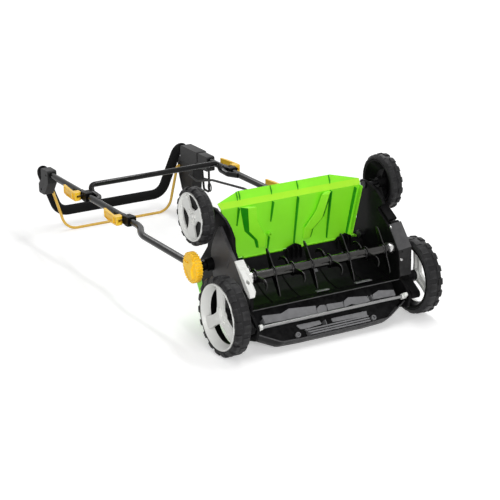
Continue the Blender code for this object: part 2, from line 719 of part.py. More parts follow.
# Wheels
def wheel_hub(name, y, z, radius, outer, width, spoke_width, spokes, look_in, side):
    """Rim ring with a middle boss and wide flat spokes, open between them."""
    rim_out = radius * 0.835
    inner = outer - width
    ring = lathe([(inner + 0.002, rim_out - 0.0050), (inner + 0.002, rim_out),
                  (outer - 0.0010, rim_out), (outer - 0.0010, rim_out - 0.0055)], y, z, 36)
    boss = lathe([(inner, STUB_RADIUS + GAP), (inner, radius * 0.16), (outer - 0.006, radius * 0.20),
                  (outer - 0.0040, radius * 0.17), (outer - 0.0040, STUB_RADIUS + GAP)], y, z, 16)
    steps = [("UNION", boss)]
    for k in range(spokes):
        t = radians(90 + look_in) + 2 * pi * k / spokes
        a = Vector((cos(t), sin(t)))
        b = Vector((-sin(t), cos(t)))
        near = radius * 0.12
        far = rim_out - 0.003
        outline = [a * near + b * spoke_width * 0.42, a * far + b * spoke_width * 0.62,
                   a * far - b * spoke_width * 0.62, a * near - b * spoke_width * 0.42]
        spoke = prism([(p.x + y, p.y + z) for p in outline], outer - 0.020, outer - 0.0065)
        steps.append(("UNION", spoke))
    steps.append(("DIFFERENCE", prism(circle(y, z, STUB_RADIUS + GAP, 16), outer - 0.1, outer - 0.0040)))
    hub = combine(ring, steps)
    add_piece(name, on_side(hub, side), WHITE, (side * (outer - width / 2), y, z))


def wheel_tyre(name, y, z, radius, outer, width, lugs, side):
    """Tyre ring with a row of raised blocks around the tread."""
    rim = radius * 0.835 + GAP
    inner = outer - width
    base = radius - 0.0035
    outline = []
    for k in range(lugs):
        for part, size in ((0.0, radius), (0.55, radius), (0.62, base), (0.93, base)):
            t = 2 * pi * (k + part) / lugs
            outline.append((y + size * cos(t), z + size * sin(t)))
    hole = prism(circle(y, z, rim, 36), inner - 0.01, outer + 0.01)
    tyre = combine(prism(outline, inner, outer), [("DIFFERENCE", hole)])
    add_piece(name, on_side(tyre, side), TYRE, (side * (outer - width / 2), y, z))


def wheels():
    for side in (-1, 1):
        where = side_name(side)
        wheel_hub("front_hub_" + where, 0.0, 0.0, FRONT_RADIUS, FRONT_OUTER, FRONT_WIDTH,
                  0.026, 3, -109.6, side)
        wheel_tyre("front_tyre_" + where, 0.0, 0.0, FRONT_RADIUS, FRONT_OUTER, FRONT_WIDTH,
                   16, side)
        wheel_hub("rear_hub_" + where, REAR_Y, REAR_Z, REAR_RADIUS, REAR_OUTER, REAR_WIDTH,
                  0.030, 3, -159.6, side)
        wheel_tyre("rear_tyre_" + where, REAR_Y, REAR_Z, REAR_RADIUS, REAR_OUTER, REAR_WIDTH,
                   14, side)
        stub = lathe([(0.2045, 0.0), (0.2045, 0.0090), (0.2080, 0.0090), (0.2080, STUB_RADIUS),
                      (0.2758, STUB_RADIUS), (0.2758, 0.0)], REAR_Y, REAR_Z, 24)
        add_piece("rear_stub_" + where, on_side(stub, side), STEEL, (side * 0.24, REAR_Y, REAR_Z))


# Rear flap
def rear_flap():
    """Ribbed flap with a flared lip, tapering towards its hinge."""
    y0, z0 = HINGE_Y, HINGE_Z
    y1, z1 = -0.2475, -0.0300
    y2, z2 = -0.2855, -0.0375
    plate_in = [(-0.1555, 0.0665), (y1, z1), (y2, z2)]
    skin = sheet([Vector(p) for p in plate_in][::-1], 0.003, -0.200, 0.200)
    trims = []
    for side in (-1, 1):
        wedge = bmesh.new()
        corners = [(0.179, y0 + 0.02, z0 + 0.02), (0.230, y0 + 0.02, z0 + 0.02),
                   (0.230, y1 - 0.06, z1 - 0.06), (0.2025, y1 - 0.06, z1 - 0.06)]
        depth = Vector((0.0, -0.05, 0.05))
        low = [wedge.verts.new(Vector((side * c[0], c[1], c[2])) - depth) for c in corners]
        high = [wedge.verts.new(Vector((side * c[0], c[1], c[2])) + depth) for c in corners]
        wedge.faces.new(low)
        wedge.faces.new(high[::-1])
        for i in range(4):
            j = (i + 1) % 4
            wedge.faces.new((low[i], low[j], high[j], high[i]))
        trims.append(("DIFFERENCE", wedge))
        corner = bmesh.new()
        base = [(0.140, y2 - 0.004), (0.2300, y2 - 0.004), (0.2300, y1 - 0.018), (0.2000, y1 - 0.018)]
        low = [corner.verts.new((side * x, y, -0.06)) for x, y in base]
        high = [corner.verts.new((side * x, y, 0.0)) for x, y in base]
        corner.faces.new(low)
        corner.faces.new(high[::-1])
        for i in range(4):
            j = (i + 1) % 4
            corner.faces.new((low[i], low[j], high[j], high[i]))
        trims.append(("DIFFERENCE", corner))
    ribs = []
    along = Vector((y1 - y0, z1 - z0)).normalized()
    inward = Vector((-along.y, along.x)) * -1
    if inward.x < 0:
        inward = -inward
    for x in (-0.158, -0.066, 0.004, 0.100, 0.168):
        a = Vector((y0, z0)) + along * 0.006
        b = Vector((y1, z1)) + along * 0.002
        rib = [a - inward * 0.0005, a + inward * 0.0050, b + inward * 0.0110, b - inward * 0.0005]
        ribs.append(("UNION", prism(rib, x - 0.0012, x + 0.0012)))
    barrel = prism(circle(y0 - 0.0016, z0 + 0.0030, 0.0042, 20), -0.1350, 0.1450)
    ribs.append(("UNION", barrel))
    flap = combine(skin, ribs + trims)
    add_piece("rear_flap", flap, GREEN, (0, y0 - 0.0016, z0 + 0.0030))


# Handle
def lower_tubes():
    for side in (-1, 1):
        path = bend([on_handle(LOWER_X, PIVOT_S, PIVOT_W), on_handle(LOWER_X, 0.020, 0.0),
                     on_handle(LOWER_X, 0.295, 0.0), on_handle(UPPER_X, 0.352, 0.0),
                     on_handle(UPPER_X, 0.400, 0.0)], 0.030)
        tube = sweep(path, TUBE_RADIUS, 12)
        pivot = on_handle(0.0, PIVOT_S, PIVOT_W)
        eye = lathe([(LOWER_X - 0.0085, 0.0), (LOWER_X - 0.0085, 0.0130),
                     (LOWER_X + 0.0085, 0.0130), (LOWER_X + 0.0085, 0.0)], pivot.y, pivot.z, 20)
        bore = lathe([(0.20, 0.0), (0.20, 0.0053), (0.30, 0.0053), (0.30, 0.0)],
                     pivot.y, pivot.z, 14)
        piece = combine(tube, [("UNION", eye), ("DIFFERENCE", bore)])
        add_piece("lower_tube_" + side_name(side), on_side(piece, side), GLOSS,
                  (side * LOWER_X, pivot.y, pivot.z), True)


def knobs():
    """Round clamp knob with finger grooves and its bolt in one piece."""
    for side in (-1, 1):
        pivot = on_handle(0.0, PIVOT_S, PIVOT_W)
        outline = []
        grooves = 20
        for k in range(grooves * 2):
            dip = (0.0, 0.0016)[k % 2]
            t = 2 * pi * k / (grooves * 2)
            outline.append((pivot.y + (KNOB_RADIUS - dip) * cos(t),
                            pivot.z + (KNOB_RADIUS - dip) * sin(t)))
        disc = prism(outline, 0.2650, 0.2800)
        dome = lathe([(0.2790, 0.0), (0.2790, 0.0335), (0.2825, 0.0300), (0.2845, 0.0200),
                      (0.2850, 0.0)], pivot.y, pivot.z, 20)
        neck = lathe([(0.2594, 0.0), (0.2594, 0.0150), (0.2655, 0.0180), (0.2655, 0.0)],
                     pivot.y, pivot.z, 16)
        bolt = lathe([(0.1930, 0.0), (0.1930, 0.0105), (0.1990, 0.0105), (0.1990, 0.0050),
                      (0.2600, 0.0050), (0.2600, 0.0)], pivot.y, pivot.z, 12)
        piece = combine(disc, [("UNION", dome), ("UNION", neck), ("UNION", bolt)])
        add_piece("knob_" + side_name(side), on_side(piece, side), YELLOW,
                  (side * 0.27, pivot.y, pivot.z))


def fork_block(name, fold, side):
    """Clamp block on a tube end: two ears and a pin for the next tube's tongue."""
    x = UPPER_X
    body = prism(fillet([(fold - 0.034, -0.0125), (fold - 0.013, -0.0125), (fold - 0.013, 0.0125),
                         (fold - 0.034, 0.0125)], 0.003, 2), x - 0.0125, x + 0.0125)
    steps = []
    for x0, x1 in ((x - 0.0125, x - 0.0045), (x + 0.0045, x + 0.0125)):
        ear = [(fold - 0.014, -0.0110)] + [(fold + 0.0110 * cos(t), 0.0110 * sin(t)) for t in
                                           [radians(-90 + 30 * k) for k in range(7)]]
        ear += [(fold - 0.014, 0.0110)]
        steps.append(("UNION", prism(ear, x0, x1)))
    pin = lathe([(x - 0.0145, 0.0), (x - 0.0145, 0.0060), (x - 0.0120, 0.0060), (x - 0.0120, 0.0030),
                 (x + 0.0245, 0.0030), (x + 0.0245, 0.0)], fold, 0.0, 10)
    steps.append(("UNION", pin))
    socket = lathe([(-0.02, 0.0), (-0.02, TUBE_RADIUS + GAP), (0.016, TUBE_RADIUS + GAP),
                    (0.016, 0.0)], 0, 0, 12)
    spin = Matrix.Translation((x, fold - 0.036, 0.0)) @ Matrix.Rotation(pi / 2, 4, "Z")
    bmesh.ops.transform(socket, matrix=spin, verts=socket.verts)
    steps.append(("DIFFERENCE", socket))
    piece = to_handle(combine(body, steps))
    spot = on_handle(side * x, fold, 0.0)
    add_piece(name, on_side(piece, side), BLACK, spot)


def tongue(fold, x):
    """Flattened tube end with a rounded eye."""
    outline = [(fold + 0.0095 * cos(radians(90 + 30 * k)), 0.0095 * sin(radians(90 + 30 * k)))
               for k in range(7)]
    outline += [(fold + 0.024, -0.0088), (fold + 0.024, 0.0088)]
    return prism(outline, x - 0.0041, x + 0.0041)


def straight_tube(x, s0, s1):
    return sweep([Vector((x, s0, 0.0)), Vector((x, s1, 0.0))], TUBE_RADIUS, 12)


def middle_frame():
    """Two straight tubes with a crossbar whose short legs run down their inner sides."""
    parts = []
    for side in (-1, 1):
        parts.append(("UNION", straight_tube(side * UPPER_X, FOLD_LOW + 0.020, FOLD_HIGH - 0.0335)))
        parts.append(("UNION", tongue(FOLD_LOW, side * UPPER_X)))
        parts.append(("DIFFERENCE", prism(circle(FOLD_LOW, 0.0, 0.0033, 10),
                                          side * UPPER_X - 0.01, side * UPPER_X + 0.01)))
    leg = [Vector((LEG_X, 0.7030, 0.0195)), Vector((LEG_X, 0.6880, 0.0050)),
           Vector((LEG_X, 0.6480, 0.0040)), Vector((UPPER_X - 0.0060, 0.6200, 0.0))]
    other = [Vector((-p.x, p.y, p.z)) for p in reversed(leg)]
    bar = bend(other + leg, [0.012, 0.010, 0.014, 0.014, 0.010, 0.012], 4)
    frame = combine(sweep(bar, 0.0075, 12), parts)
    add_piece("middle_frame", to_handle(frame), GLOSS, on_handle(0.0, FOLD_LOW, 0.0), True)


def grip_path():
    """The loop of the grip from the right straight round to the left one."""
    first = on_handle(UPPER_X, 0.700, 0.0)
    corner = on_handle(UPPER_X, 0.990, 0.0)
    low = Vector((0.1660, -0.6863, 0.9461))
    points = [first, corner, low]
    points += [Vector((-p.x, p.y, p.z)) for p in (low, corner, first)]
    return bend(points, [0.030, 0.042, 0.042, 0.030], 5)


def upper_tube():
    """Upper handle bent from one tube, with a flattened eye at each end."""
    path = grip_path()
    total = path_length(path)
    tube = sweep(cut_path(path, 0.010, total - 0.010), TUBE_RADIUS, 12)
    steps = []
    for side in (-1, 1):
        x = side * UPPER_X
        steps.append(("UNION", to_handle(tongue(FOLD_HIGH, x))))
        hole = to_handle(prism(circle(FOLD_HIGH, 0.0, 0.0033, 10), x - 0.01, x + 0.01))
        steps.append(("DIFFERENCE", hole))
    piece = combine(tube, steps)
    add_piece("upper_tube", piece, GLOSS, on_handle(0.0, FOLD_HIGH, 0.0), True)


def foam_grip():
    path = grip_path()
    total = path_length(path)
    start = 0.2640
    sleeve = sweep(cut_path(path, start, total - start), FOAM_RADIUS, 12, TUBE_RADIUS + GAP)
    add_piece("foam_grip", sleeve, FOAM, (0, -0.69, 0.94), True)


def cam_lever(name, fold, side):
    """Quick clamp lever: an eccentric head and a finger plate that leans to the tube."""
    x = UPPER_X + 0.0125 + GAP
    hub = x + CAM_RADIUS
    outline = [(CAM_RADIUS * cos(radians(180 + 30 * k)), hub + CAM_RADIUS * sin(radians(180 + 30 * k)))
               for k in range(4)]
    outline += [(0.0120, x), (0.0120, x + 0.0150), (0.0800, x + 0.0070), (0.0820, x + 0.0130),
                (0.0500, x + 0.0190), (0.0120, x + 0.0210), (-CAM_RADIUS, x + 0.0210)]
    bm = prism(fillet(outline, 0.0020, 2), -0.0115, 0.0115)
    slot = prism([(-0.020, x - 0.01), (0.0042, x - 0.01), (0.0042, hub + 0.0042),
                  (-0.020, hub + 0.0042)], -0.0036, 0.0036)
    lever = combine(bm, [("DIFFERENCE", slot)])
    swap = Matrix(((0, 0, 1, 0), (0, 1, 0, 0), (1, 0, 0, 0), (0, 0, 0, 1)))
    bmesh.ops.transform(lever, matrix=swap, verts=lever.verts)
    bmesh.ops.translate(lever, verts=lever.verts, vec=(0.0, fold, 0.0))
    spot = on_handle(side * hub, fold, 0.0)
    add_piece(name, on_side(to_handle(lever), side), YELLOW, spot)


def bail_bar():
    """Wire bail hanging beside the grip between its two pivot boxes."""
    pivot = on_handle(0.2020, BAIL_S, BAIL_W)
    low = Vector((0.1660, -0.6240, 0.9360))
    points = [pivot + Vector((0.0165, 0.0, 0.0)), pivot, low]
    points += [Vector((-p.x, p.y, p.z)) for p in (low, pivot, pivot + Vector((0.0165, 0, 0)))]
    path = bend(points, [0.006, 0.045, 0.045, 0.006], 4)
    add_piece("bail_bar", sweep(path, BAIL_RADIUS, 8, first_up=(0, 1, 0.3)), OCHRE,
              Vector((0.0, pivot.y, pivot.z)), True)


def clip_bore():
    """Room for the handle tube through a clip on box."""
    bore = lathe([(0.85, 0.0), (0.85, TUBE_RADIUS + GAP), (1.05, TUBE_RADIUS + GAP), (1.05, 0.0)],
                 0.0, 0.0, 14)
    spin = Matrix.Translation((UPPER_X, 0.0, 0.0)) @ Matrix.Rotation(pi / 2, 4, "Z")
    bmesh.ops.transform(bore, matrix=spin, verts=bore.verts)
    return bore


def pivot_slot():
    """Round seat for the bail end."""
    return prism(circle(BAIL_S, BAIL_W, BAIL_RADIUS + GAP, 12), UPPER_X - 0.03, UPPER_X - 0.0025)


def bail_pivot():
    """Left clip on box that carries the free end of the bail."""
    outline = fillet([(0.905, 0.0135), (0.905, -0.022), (0.935, -0.062), (0.9715, -0.062),
                      (0.9715, -0.036), (0.952, -0.018), (0.952, 0.0135)], 0.006, 3)
    steps = [("DIFFERENCE", clip_bore()), ("DIFFERENCE", pivot_slot())]
    box = to_handle(combine(prism(outline, UPPER_X - 0.0135, UPPER_X + 0.0145), steps))
    add_piece("bail_pivot_left", mirrored(box), BLACK, on_handle(-UPPER_X, 0.94, 0.0))


def switch_box():
    """Right switch housing: clip on the tube, long tapered body, plug nose."""
    outline = fillet([(0.850, 0.0135), (0.850, -0.014), (0.872, -0.030), (0.888, -0.122),
                      (0.900, -0.136), (0.935, -0.132), (0.950, -0.118), (0.9715, -0.064),
                      (0.9715, -0.036), (0.952, -0.018), (0.952, 0.0135)], 0.007, 3)
    body = prism(outline, UPPER_X - 0.0135, UPPER_X + 0.0190)
    steps = [("DIFFERENCE", clip_bore()), ("DIFFERENCE", pivot_slot())]
    steps.append(("DIFFERENCE", block(UPPER_X + 0.0080, UPPER_X + 0.0300,
                                      0.9120, 0.9300, -0.0620, -0.0440)))
    plug = fillet([(0.893, -0.130), (0.936, -0.130), (0.930, -0.158), (0.899, -0.158)], 0.004, 3)
    steps.append(("UNION", prism(plug, UPPER_X - 0.010, UPPER_X + 0.013)))
    box = to_handle(combine(body, steps))
    add_piece("switch_box", box, BLACK, on_handle(UPPER_X, 0.92, -0.05))


def lock_button():
    """Square release button in the outer face of the switch housing."""
    outline = fillet([(0.9125, -0.0615), (0.9295, -0.0615), (0.9295, -0.0445), (0.9125, -0.0445)],
                     0.003, 3)
    button = to_handle(prism(outline, UPPER_X + 0.0130, UPPER_X + 0.0250))
    add_piece("lock_button", button, YELLOW, on_handle(UPPER_X + 0.019, 0.921, -0.053))


def cable_hook():
    """Open strain relief frame beside the switch housing."""
    path = bend([Vector((UPPER_X, 0.8450, -0.0240)), Vector((UPPER_X, 0.8350, -0.0950)),
                 Vector((UPPER_X, 0.8030, -0.0950)), Vector((UPPER_X, 0.8030, -0.0240))], 0.008, 3)
    clip = prism(fillet([(0.790, 0.0130), (0.790, -0.030), (0.8460, -0.030), (0.8460, 0.0130)],
                        0.005, 3), UPPER_X - 0.0130, UPPER_X + 0.0130)
    bore = lathe([(0.75, 0.0), (0.75, TUBE_RADIUS + GAP), (0.90, TUBE_RADIUS + GAP), (0.90, 0.0)],
                 0.0, 0.0, 14)
    spin = Matrix.Translation((UPPER_X, 0.0, 0.0)) @ Matrix.Rotation(pi / 2, 4, "Z")
    bmesh.ops.transform(bore, matrix=spin, verts=bore.verts)
    steps = [("DIFFERENCE", bore), ("UNION", sweep(path, 0.0035, 8, first_up=(1, 0, 0)))]
    add_piece("cable_hook", to_handle(combine(clip, steps)), BLACK,
              on_handle(UPPER_X, 0.82, 0.0))


def motor_cable():
    """Lead from the switch housing down inside the right tube to the motor."""
    points = [on_handle(0.2020, 0.886, -0.060), on_handle(0.1960, 0.830, -0.064),
              on_handle(0.1990, 0.740, -0.040), on_handle(0.2000, 0.560, -0.020),
              on_handle(0.2010, 0.360, -0.018), on_handle(0.2200, 0.250, -0.020),
              on_handle(0.2050, 0.130, -0.030), Vector((0.121, -0.1930, 0.182)),
              Vector((0.119, -0.1768, 0.177))]
    path = bend(points, [0.03] * 6 + [0.008], 3)
    add_piece("motor_cable", sweep(path, 0.0034, 7), BLACK, on_handle(0.2, 0.5, -0.02), True)


clear_scene()
STANCE = bpy.data.objects.new("stance", None)
bpy.context.scene.collection.objects.link(STANCE)
STANCE.rotation_euler = (TILT, 0.0, 0.0)
STANCE.location = (0.0, -CENTRE_Y, FLOOR_DROP)

chassis_hood()
side_plates()
nose_shell()
front_grille()
motor_cover()
motor_housing()
motor_shaft()
rotor_pulley()
drive_belt()
belt_cover()
bearing_bracket()
bearings()
rotor_tube()
blades()
depth_rod()
depth_cranks()
depth_arms()
wheels()
rear_flap()
lower_tubes()
knobs()
for place in (-1, 1):
    fork_block("lower_clamp_" + side_name(place), FOLD_LOW, place)
    fork_block("upper_clamp_" + side_name(place), FOLD_HIGH, place)
    cam_lever("lower_cam_" + side_name(place), FOLD_LOW, place)
    cam_lever("upper_cam_" + side_name(place), FOLD_HIGH, place)
middle_frame()
upper_tube()
foam_grip()
bail_bar()
bail_pivot()
switch_box()
lock_button()
cable_hook()
motor_cable()
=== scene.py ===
# %% [markdown]
# # An electric lawn aerator laid over to show its rotor
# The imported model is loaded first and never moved. It gives every piece its place, so each
# finer piece below is drawn in the machine's own upright directions and then tipped over
# with the rest. Loading a fixed frame and modelling around it keeps looks and motion apart.

# %% Load the frame
import json
from math import atan2, cos, hypot, pi, radians, sin, tan

import bmesh
import bpy
from mathutils import Matrix, Vector


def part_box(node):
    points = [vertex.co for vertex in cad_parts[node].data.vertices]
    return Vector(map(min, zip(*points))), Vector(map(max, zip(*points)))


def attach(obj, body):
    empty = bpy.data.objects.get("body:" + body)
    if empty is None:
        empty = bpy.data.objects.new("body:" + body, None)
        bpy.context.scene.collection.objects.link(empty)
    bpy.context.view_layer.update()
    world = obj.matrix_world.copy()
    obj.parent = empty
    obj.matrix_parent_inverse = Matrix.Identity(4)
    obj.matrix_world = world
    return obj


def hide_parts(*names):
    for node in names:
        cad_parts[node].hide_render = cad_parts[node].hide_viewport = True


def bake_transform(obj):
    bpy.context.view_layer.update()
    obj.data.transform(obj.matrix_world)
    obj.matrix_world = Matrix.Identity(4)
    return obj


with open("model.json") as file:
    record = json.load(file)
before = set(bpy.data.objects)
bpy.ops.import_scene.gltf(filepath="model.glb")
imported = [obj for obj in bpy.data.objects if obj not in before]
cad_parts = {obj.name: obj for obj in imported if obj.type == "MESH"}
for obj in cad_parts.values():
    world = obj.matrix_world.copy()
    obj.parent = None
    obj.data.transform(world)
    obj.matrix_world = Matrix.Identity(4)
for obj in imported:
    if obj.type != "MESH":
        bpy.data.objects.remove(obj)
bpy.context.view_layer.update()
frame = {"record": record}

BODY_OF = {node: body for body, nodes in frame["record"]["behaviour"]["bodies"].items()
           for node in nodes}

# %% [markdown]
# The machine stands on its front wheels and its bail, so its own up direction is far from
# the floor's. Drawing each piece upright is easier to read, and one matrix tips it: a turn
# about the front axle, then a move to where the frame has that axle.

# %% Stance of the machine
TILT = radians(231.6)


def middle(node):
    low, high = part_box(node)
    return (low + high) / 2


AXLE = middle("front_tyre_left")
STANCE = Matrix.Translation((0.0, AXLE.y, AXLE.z)) @ Matrix.Rotation(TILT, 4, "X")
UPRIGHT = STANCE.inverted()


def upright(point):
    return UPRIGHT @ Vector(point)


def told(values, digits=3):
    """Numbers short enough to print."""
    return [round(v, digits) for v in values]

# %% [markdown]
# The camera comes first, because every later choice is judged through it. Its angle and
# distance were found by matching straight edges of the photograph: a long lens, low over
# the floor, looking at the underside from the machine's front left. The floor leans a
# little against the matched axes, which is the small extra turn.

# %% Camera
VIEW_AZIMUTH = radians(-29.916)
VIEW_DROP = radians(20.281)
FLOOR_LEAN = radians(2.9)
CAMERA_REACH = Vector((-2.1395, -3.4491, 1.4161))
FOCAL_PIXELS = 1800.0
FRAME_PIXELS = 500.0
SENSOR = 36.0

camera_data = bpy.data.cameras.new("camera")
camera_data.sensor_width = SENSOR
camera_data.lens = SENSOR * FOCAL_PIXELS / FRAME_PIXELS
camera = bpy.data.objects.new("camera", camera_data)
bpy.context.scene.collection.objects.link(camera)
camera_turn = (Matrix.Rotation(FLOOR_LEAN, 4, "X") @ Matrix.Rotation(VIEW_AZIMUTH, 4, "Z")
               @ Matrix.Rotation(pi / 2 - VIEW_DROP, 4, "X"))
camera.matrix_world = Matrix.Translation(CAMERA_REACH + Vector((0.0, AXLE.y, AXLE.z))) @ camera_turn
bpy.context.scene.camera = camera
print("camera at", told(camera.matrix_world.translation))

# %% [markdown]
# The photograph has a pure white surround and one soft shadow under the machine. A plain
# white floor lit by soft lamps would only reach light grey, so the floor adds a little
# light of its own where it is looked at, and more far away, where the lamps don't reach.
# The world is white where the camera or a reflection looks at it, and dimmer where it
# lights the object, so that colours render as written.

# %% Floor, world and lamps
SURROUND_LIGHT = 0.42
FLOOR_GLOW = 0.36
FAR_GLOW = 0.8
NEAR_FLOOR = 1.6
FAR_FLOOR = 5.0
FLOOR_HALF = 40.0
WHITE = (1.0, 1.0, 1.0, 1.0)


def node_tree(owner):
    owner.use_nodes = True
    owner.node_tree.nodes.clear()
    return owner.node_tree


def add(tree, kind, **values):
    """A node with its properties and input values set by name."""
    node = tree.nodes.new("ShaderNode" + kind)
    for key, value in values.items():
        if hasattr(node, key):
            setattr(node, key, value)
        else:
            node.inputs[key.replace("_", " ")].default_value = value
    return node


def remap(tree, value, *limits):
    """A value carried over from one span of numbers to another."""
    node = add(tree, "MapRange")
    for key, number in zip(("From Min", "From Max", "To Min", "To Max"), limits):
        node.inputs[key].default_value = number
    tree.links.new(value, node.inputs["Value"])
    return node.outputs["Result"]


def work_out(tree, operation, *values):
    """One sum, each value a number or another node's output."""
    node = add(tree, "Math", operation=operation)
    for slot, value in zip(node.inputs, values):
        if isinstance(value, (int, float)):
            slot.default_value = value
        else:
            tree.links.new(value, slot)
    return node.outputs[0]


def seen_directly(tree):
    """A mask that is 1 for camera, glossy and transmission rays."""
    path = add(tree, "LightPath").outputs
    seen = work_out(tree, "MAXIMUM", path["Is Camera Ray"], path["Is Glossy Ray"])
    return work_out(tree, "MAXIMUM", seen, path["Is Transmission Ray"])


def build_world():
    world = bpy.data.worlds.new("white_surround")
    bpy.context.scene.world = world
    tree = node_tree(world)
    back = add(tree, "Background", Color=WHITE)
    out = add(tree, "OutputWorld")
    strength = remap(tree, seen_directly(tree), 0.0, 1.0, SURROUND_LIGHT, 1.0)
    tree.links.new(strength, back.inputs["Strength"])
    tree.links.new(back.outputs[0], out.inputs[0])


def build_floor():
    bm = bmesh.new()
    bmesh.ops.create_grid(bm, x_segments=1, y_segments=1, size=FLOOR_HALF)
    mesh = bpy.data.meshes.new("floor")
    bm.to_mesh(mesh)
    bm.free()
    floor = bpy.data.objects.new("floor", mesh)
    bpy.context.scene.collection.objects.link(floor)
    look = bpy.data.materials.new("studio_floor")
    tree = node_tree(look)
    shader = add(tree, "BsdfPrincipled", Base_Color=(0.86, 0.86, 0.86, 1.0), Roughness=0.9,
                 Specular_IOR_Level=0.1, Emission_Color=WHITE)
    away = add(tree, "VectorMath", operation="LENGTH")
    tree.links.new(add(tree, "TexCoord").outputs["Object"], away.inputs[0])
    glow = remap(tree, away.outputs["Value"], NEAR_FLOOR, FAR_FLOOR, FLOOR_GLOW, FAR_GLOW)
    out = add(tree, "OutputMaterial")
    tree.links.new(work_out(tree, "MULTIPLY", seen_directly(tree), glow),
                   shader.inputs["Emission Strength"])
    tree.links.new(shader.outputs[0], out.inputs[0])
    mesh.materials.append(look)

# %% Lamps
def soft_lamp(name, place, aim, size, power):
    data = bpy.data.lights.new(name, "AREA")
    data.shape = "RECTANGLE"
    data.size, data.size_y = size
    data.energy = power
    lamp = bpy.data.objects.new(name, data)
    bpy.context.scene.collection.objects.link(lamp)
    lamp.location = place
    lamp.rotation_euler = (Vector(aim) - Vector(place)).to_track_quat("-Z", "Y").to_euler()


build_world()
build_floor()
for lamp in (("overhead_strip", (0.9, -0.2, 2.6), (0.0, -0.1, 0.1), (2.8, 0.14), 26.0),
             ("rear_strip", (0.2, 2.8, 2.1), (0.0, 0.2, 0.1), (2.4, 0.3), 10.0),
             ("front_panel", (-0.9, -3.0, 1.0), (0.0, -0.4, 0.15), (1.5, 0.6), 42.0),
             ("left_strip", (-2.4, -1.2, 1.7), (0.0, -0.3, 0.1), (0.3, 1.8), 7.0),
             ("rear_right_strip", (2.3, 1.6, 1.6), (0.0, -0.1, 0.1), (0.4, 2.0), 10.0)):
    soft_lamp(*lamp)
bpy.context.scene.view_settings.view_transform = "Standard"
print("lamps:", [lamp.name for lamp in bpy.data.lights])

# %% [markdown]
# Finishes are worked out before shapes. Moulded plastic, rubber and painted metal all show
# the same few things close up: a slow change of tone, a fine grain, and paler edges, partly
# where the skin is scuffed and partly a painted highlight along sharp edges. One node group
# makes these and every finish below feeds it its own colours, which is cheaper to keep right
# than a dozen separate node trees.

# %% Moulded surface group
def new_group(name, inputs, outputs):
    tree = bpy.data.node_groups.new(name, "ShaderNodeTree")
    for label, kind, value in inputs:
        socket = tree.interface.new_socket(label, in_out="INPUT", socket_type="NodeSocket" + kind)
        socket.default_value = value
    for label, kind in outputs:
        tree.interface.new_socket(label, in_out="OUTPUT", socket_type="NodeSocket" + kind)
    return tree, tree.nodes.new("NodeGroupInput"), tree.nodes.new("NodeGroupOutput")


def noise(tree, vector, scale, detail=3.0, roughness=0.55):
    node = add(tree, "TexNoise", Detail=detail, Roughness=roughness)
    if isinstance(scale, float):
        node.inputs["Scale"].default_value = scale
    else:
        tree.links.new(scale, node.inputs["Scale"])
    tree.links.new(vector, node.inputs["Vector"])
    return node.outputs["Fac"]


def blend_colours(tree, share, first, second):
    node = add(tree, "Mix", data_type="RGBA")
    for slot, value in zip((node.inputs[0], node.inputs[6], node.inputs[7]), (share, first, second)):
        tree.links.new(value, slot)
    return node.outputs[2]


def hand_out(tree, outside, *values):
    """Joins the three results that every finish has to a group's outputs."""
    for slot, value in zip(outside.inputs, values):
        tree.links.new(value, slot)
    return tree


RESULTS = [("Colour", "Color"), ("Roughness", "Float"), ("Height", "Float")]


def moulded_group():
    tree, inside, outside = new_group(
        "moulded_surface",
        [("Colour", "Color", (0.5, 0.5, 0.5, 1.0)), ("Scuffed And Lit Edge", "Color", (0.8, 0.8, 0.8, 1.0)),
         ("Roughness", "Float", 0.4), ("Grain", "Float", 900.0), ("Clouds", "Float", 0.1),
         ("Edge Scuff And Light", "Float", 0.3)], RESULTS)
    place = add(tree, "TexCoord").outputs["Object"]
    cloud = noise(tree, place, 13.0)
    patch = noise(tree, place, 70.0, 4.0)
    grain = noise(tree, place, inside.outputs["Grain"], 2.0)
    swing = work_out(tree, "MULTIPLY", work_out(tree, "SUBTRACT", cloud, 0.5), inside.outputs["Clouds"])
    shade = work_out(tree, "ADD", work_out(tree, "MULTIPLY", swing, 2.4), 1.0)
    shaded = add(tree, "VectorMath", operation="SCALE")
    tree.links.new(inside.outputs["Colour"], shaded.inputs[0])
    tree.links.new(shade, shaded.inputs["Scale"])
    # Paler edges found by pointiness: partly real scuffing, partly a painted highlight along sharp edges.
    bend_mask = remap(tree, add(tree, "NewGeometry").outputs["Pointiness"], 0.515, 0.6, 0.0, 1.0)
    broken = work_out(tree, "MULTIPLY", bend_mask, remap(tree, patch, 0.38, 0.62, 0.25, 1.0))
    scuffed_and_lit = work_out(tree, "MULTIPLY", broken, inside.outputs["Edge Scuff And Light"])
    colour = blend_colours(tree, scuffed_and_lit, shaded.outputs[0], inside.outputs["Scuffed And Lit Edge"])
    rough = work_out(tree, "ADD", inside.outputs["Roughness"], remap(tree, patch, 0.3, 0.7, -0.06, 0.06))
    return hand_out(tree, outside, colour, rough, grain)


MOULDED = moulded_group()

# %% [markdown]
# Turned and drawn steel is different: its marks run along the bar. Noise stretched many
# times along x gives streaks in brightness and roughness that follow the rod, the shaft
# and the rotor tube, which all lie across the machine.

# %% Drawn metal group
ALONG_THE_BAR = (9.0, 520.0, 520.0)


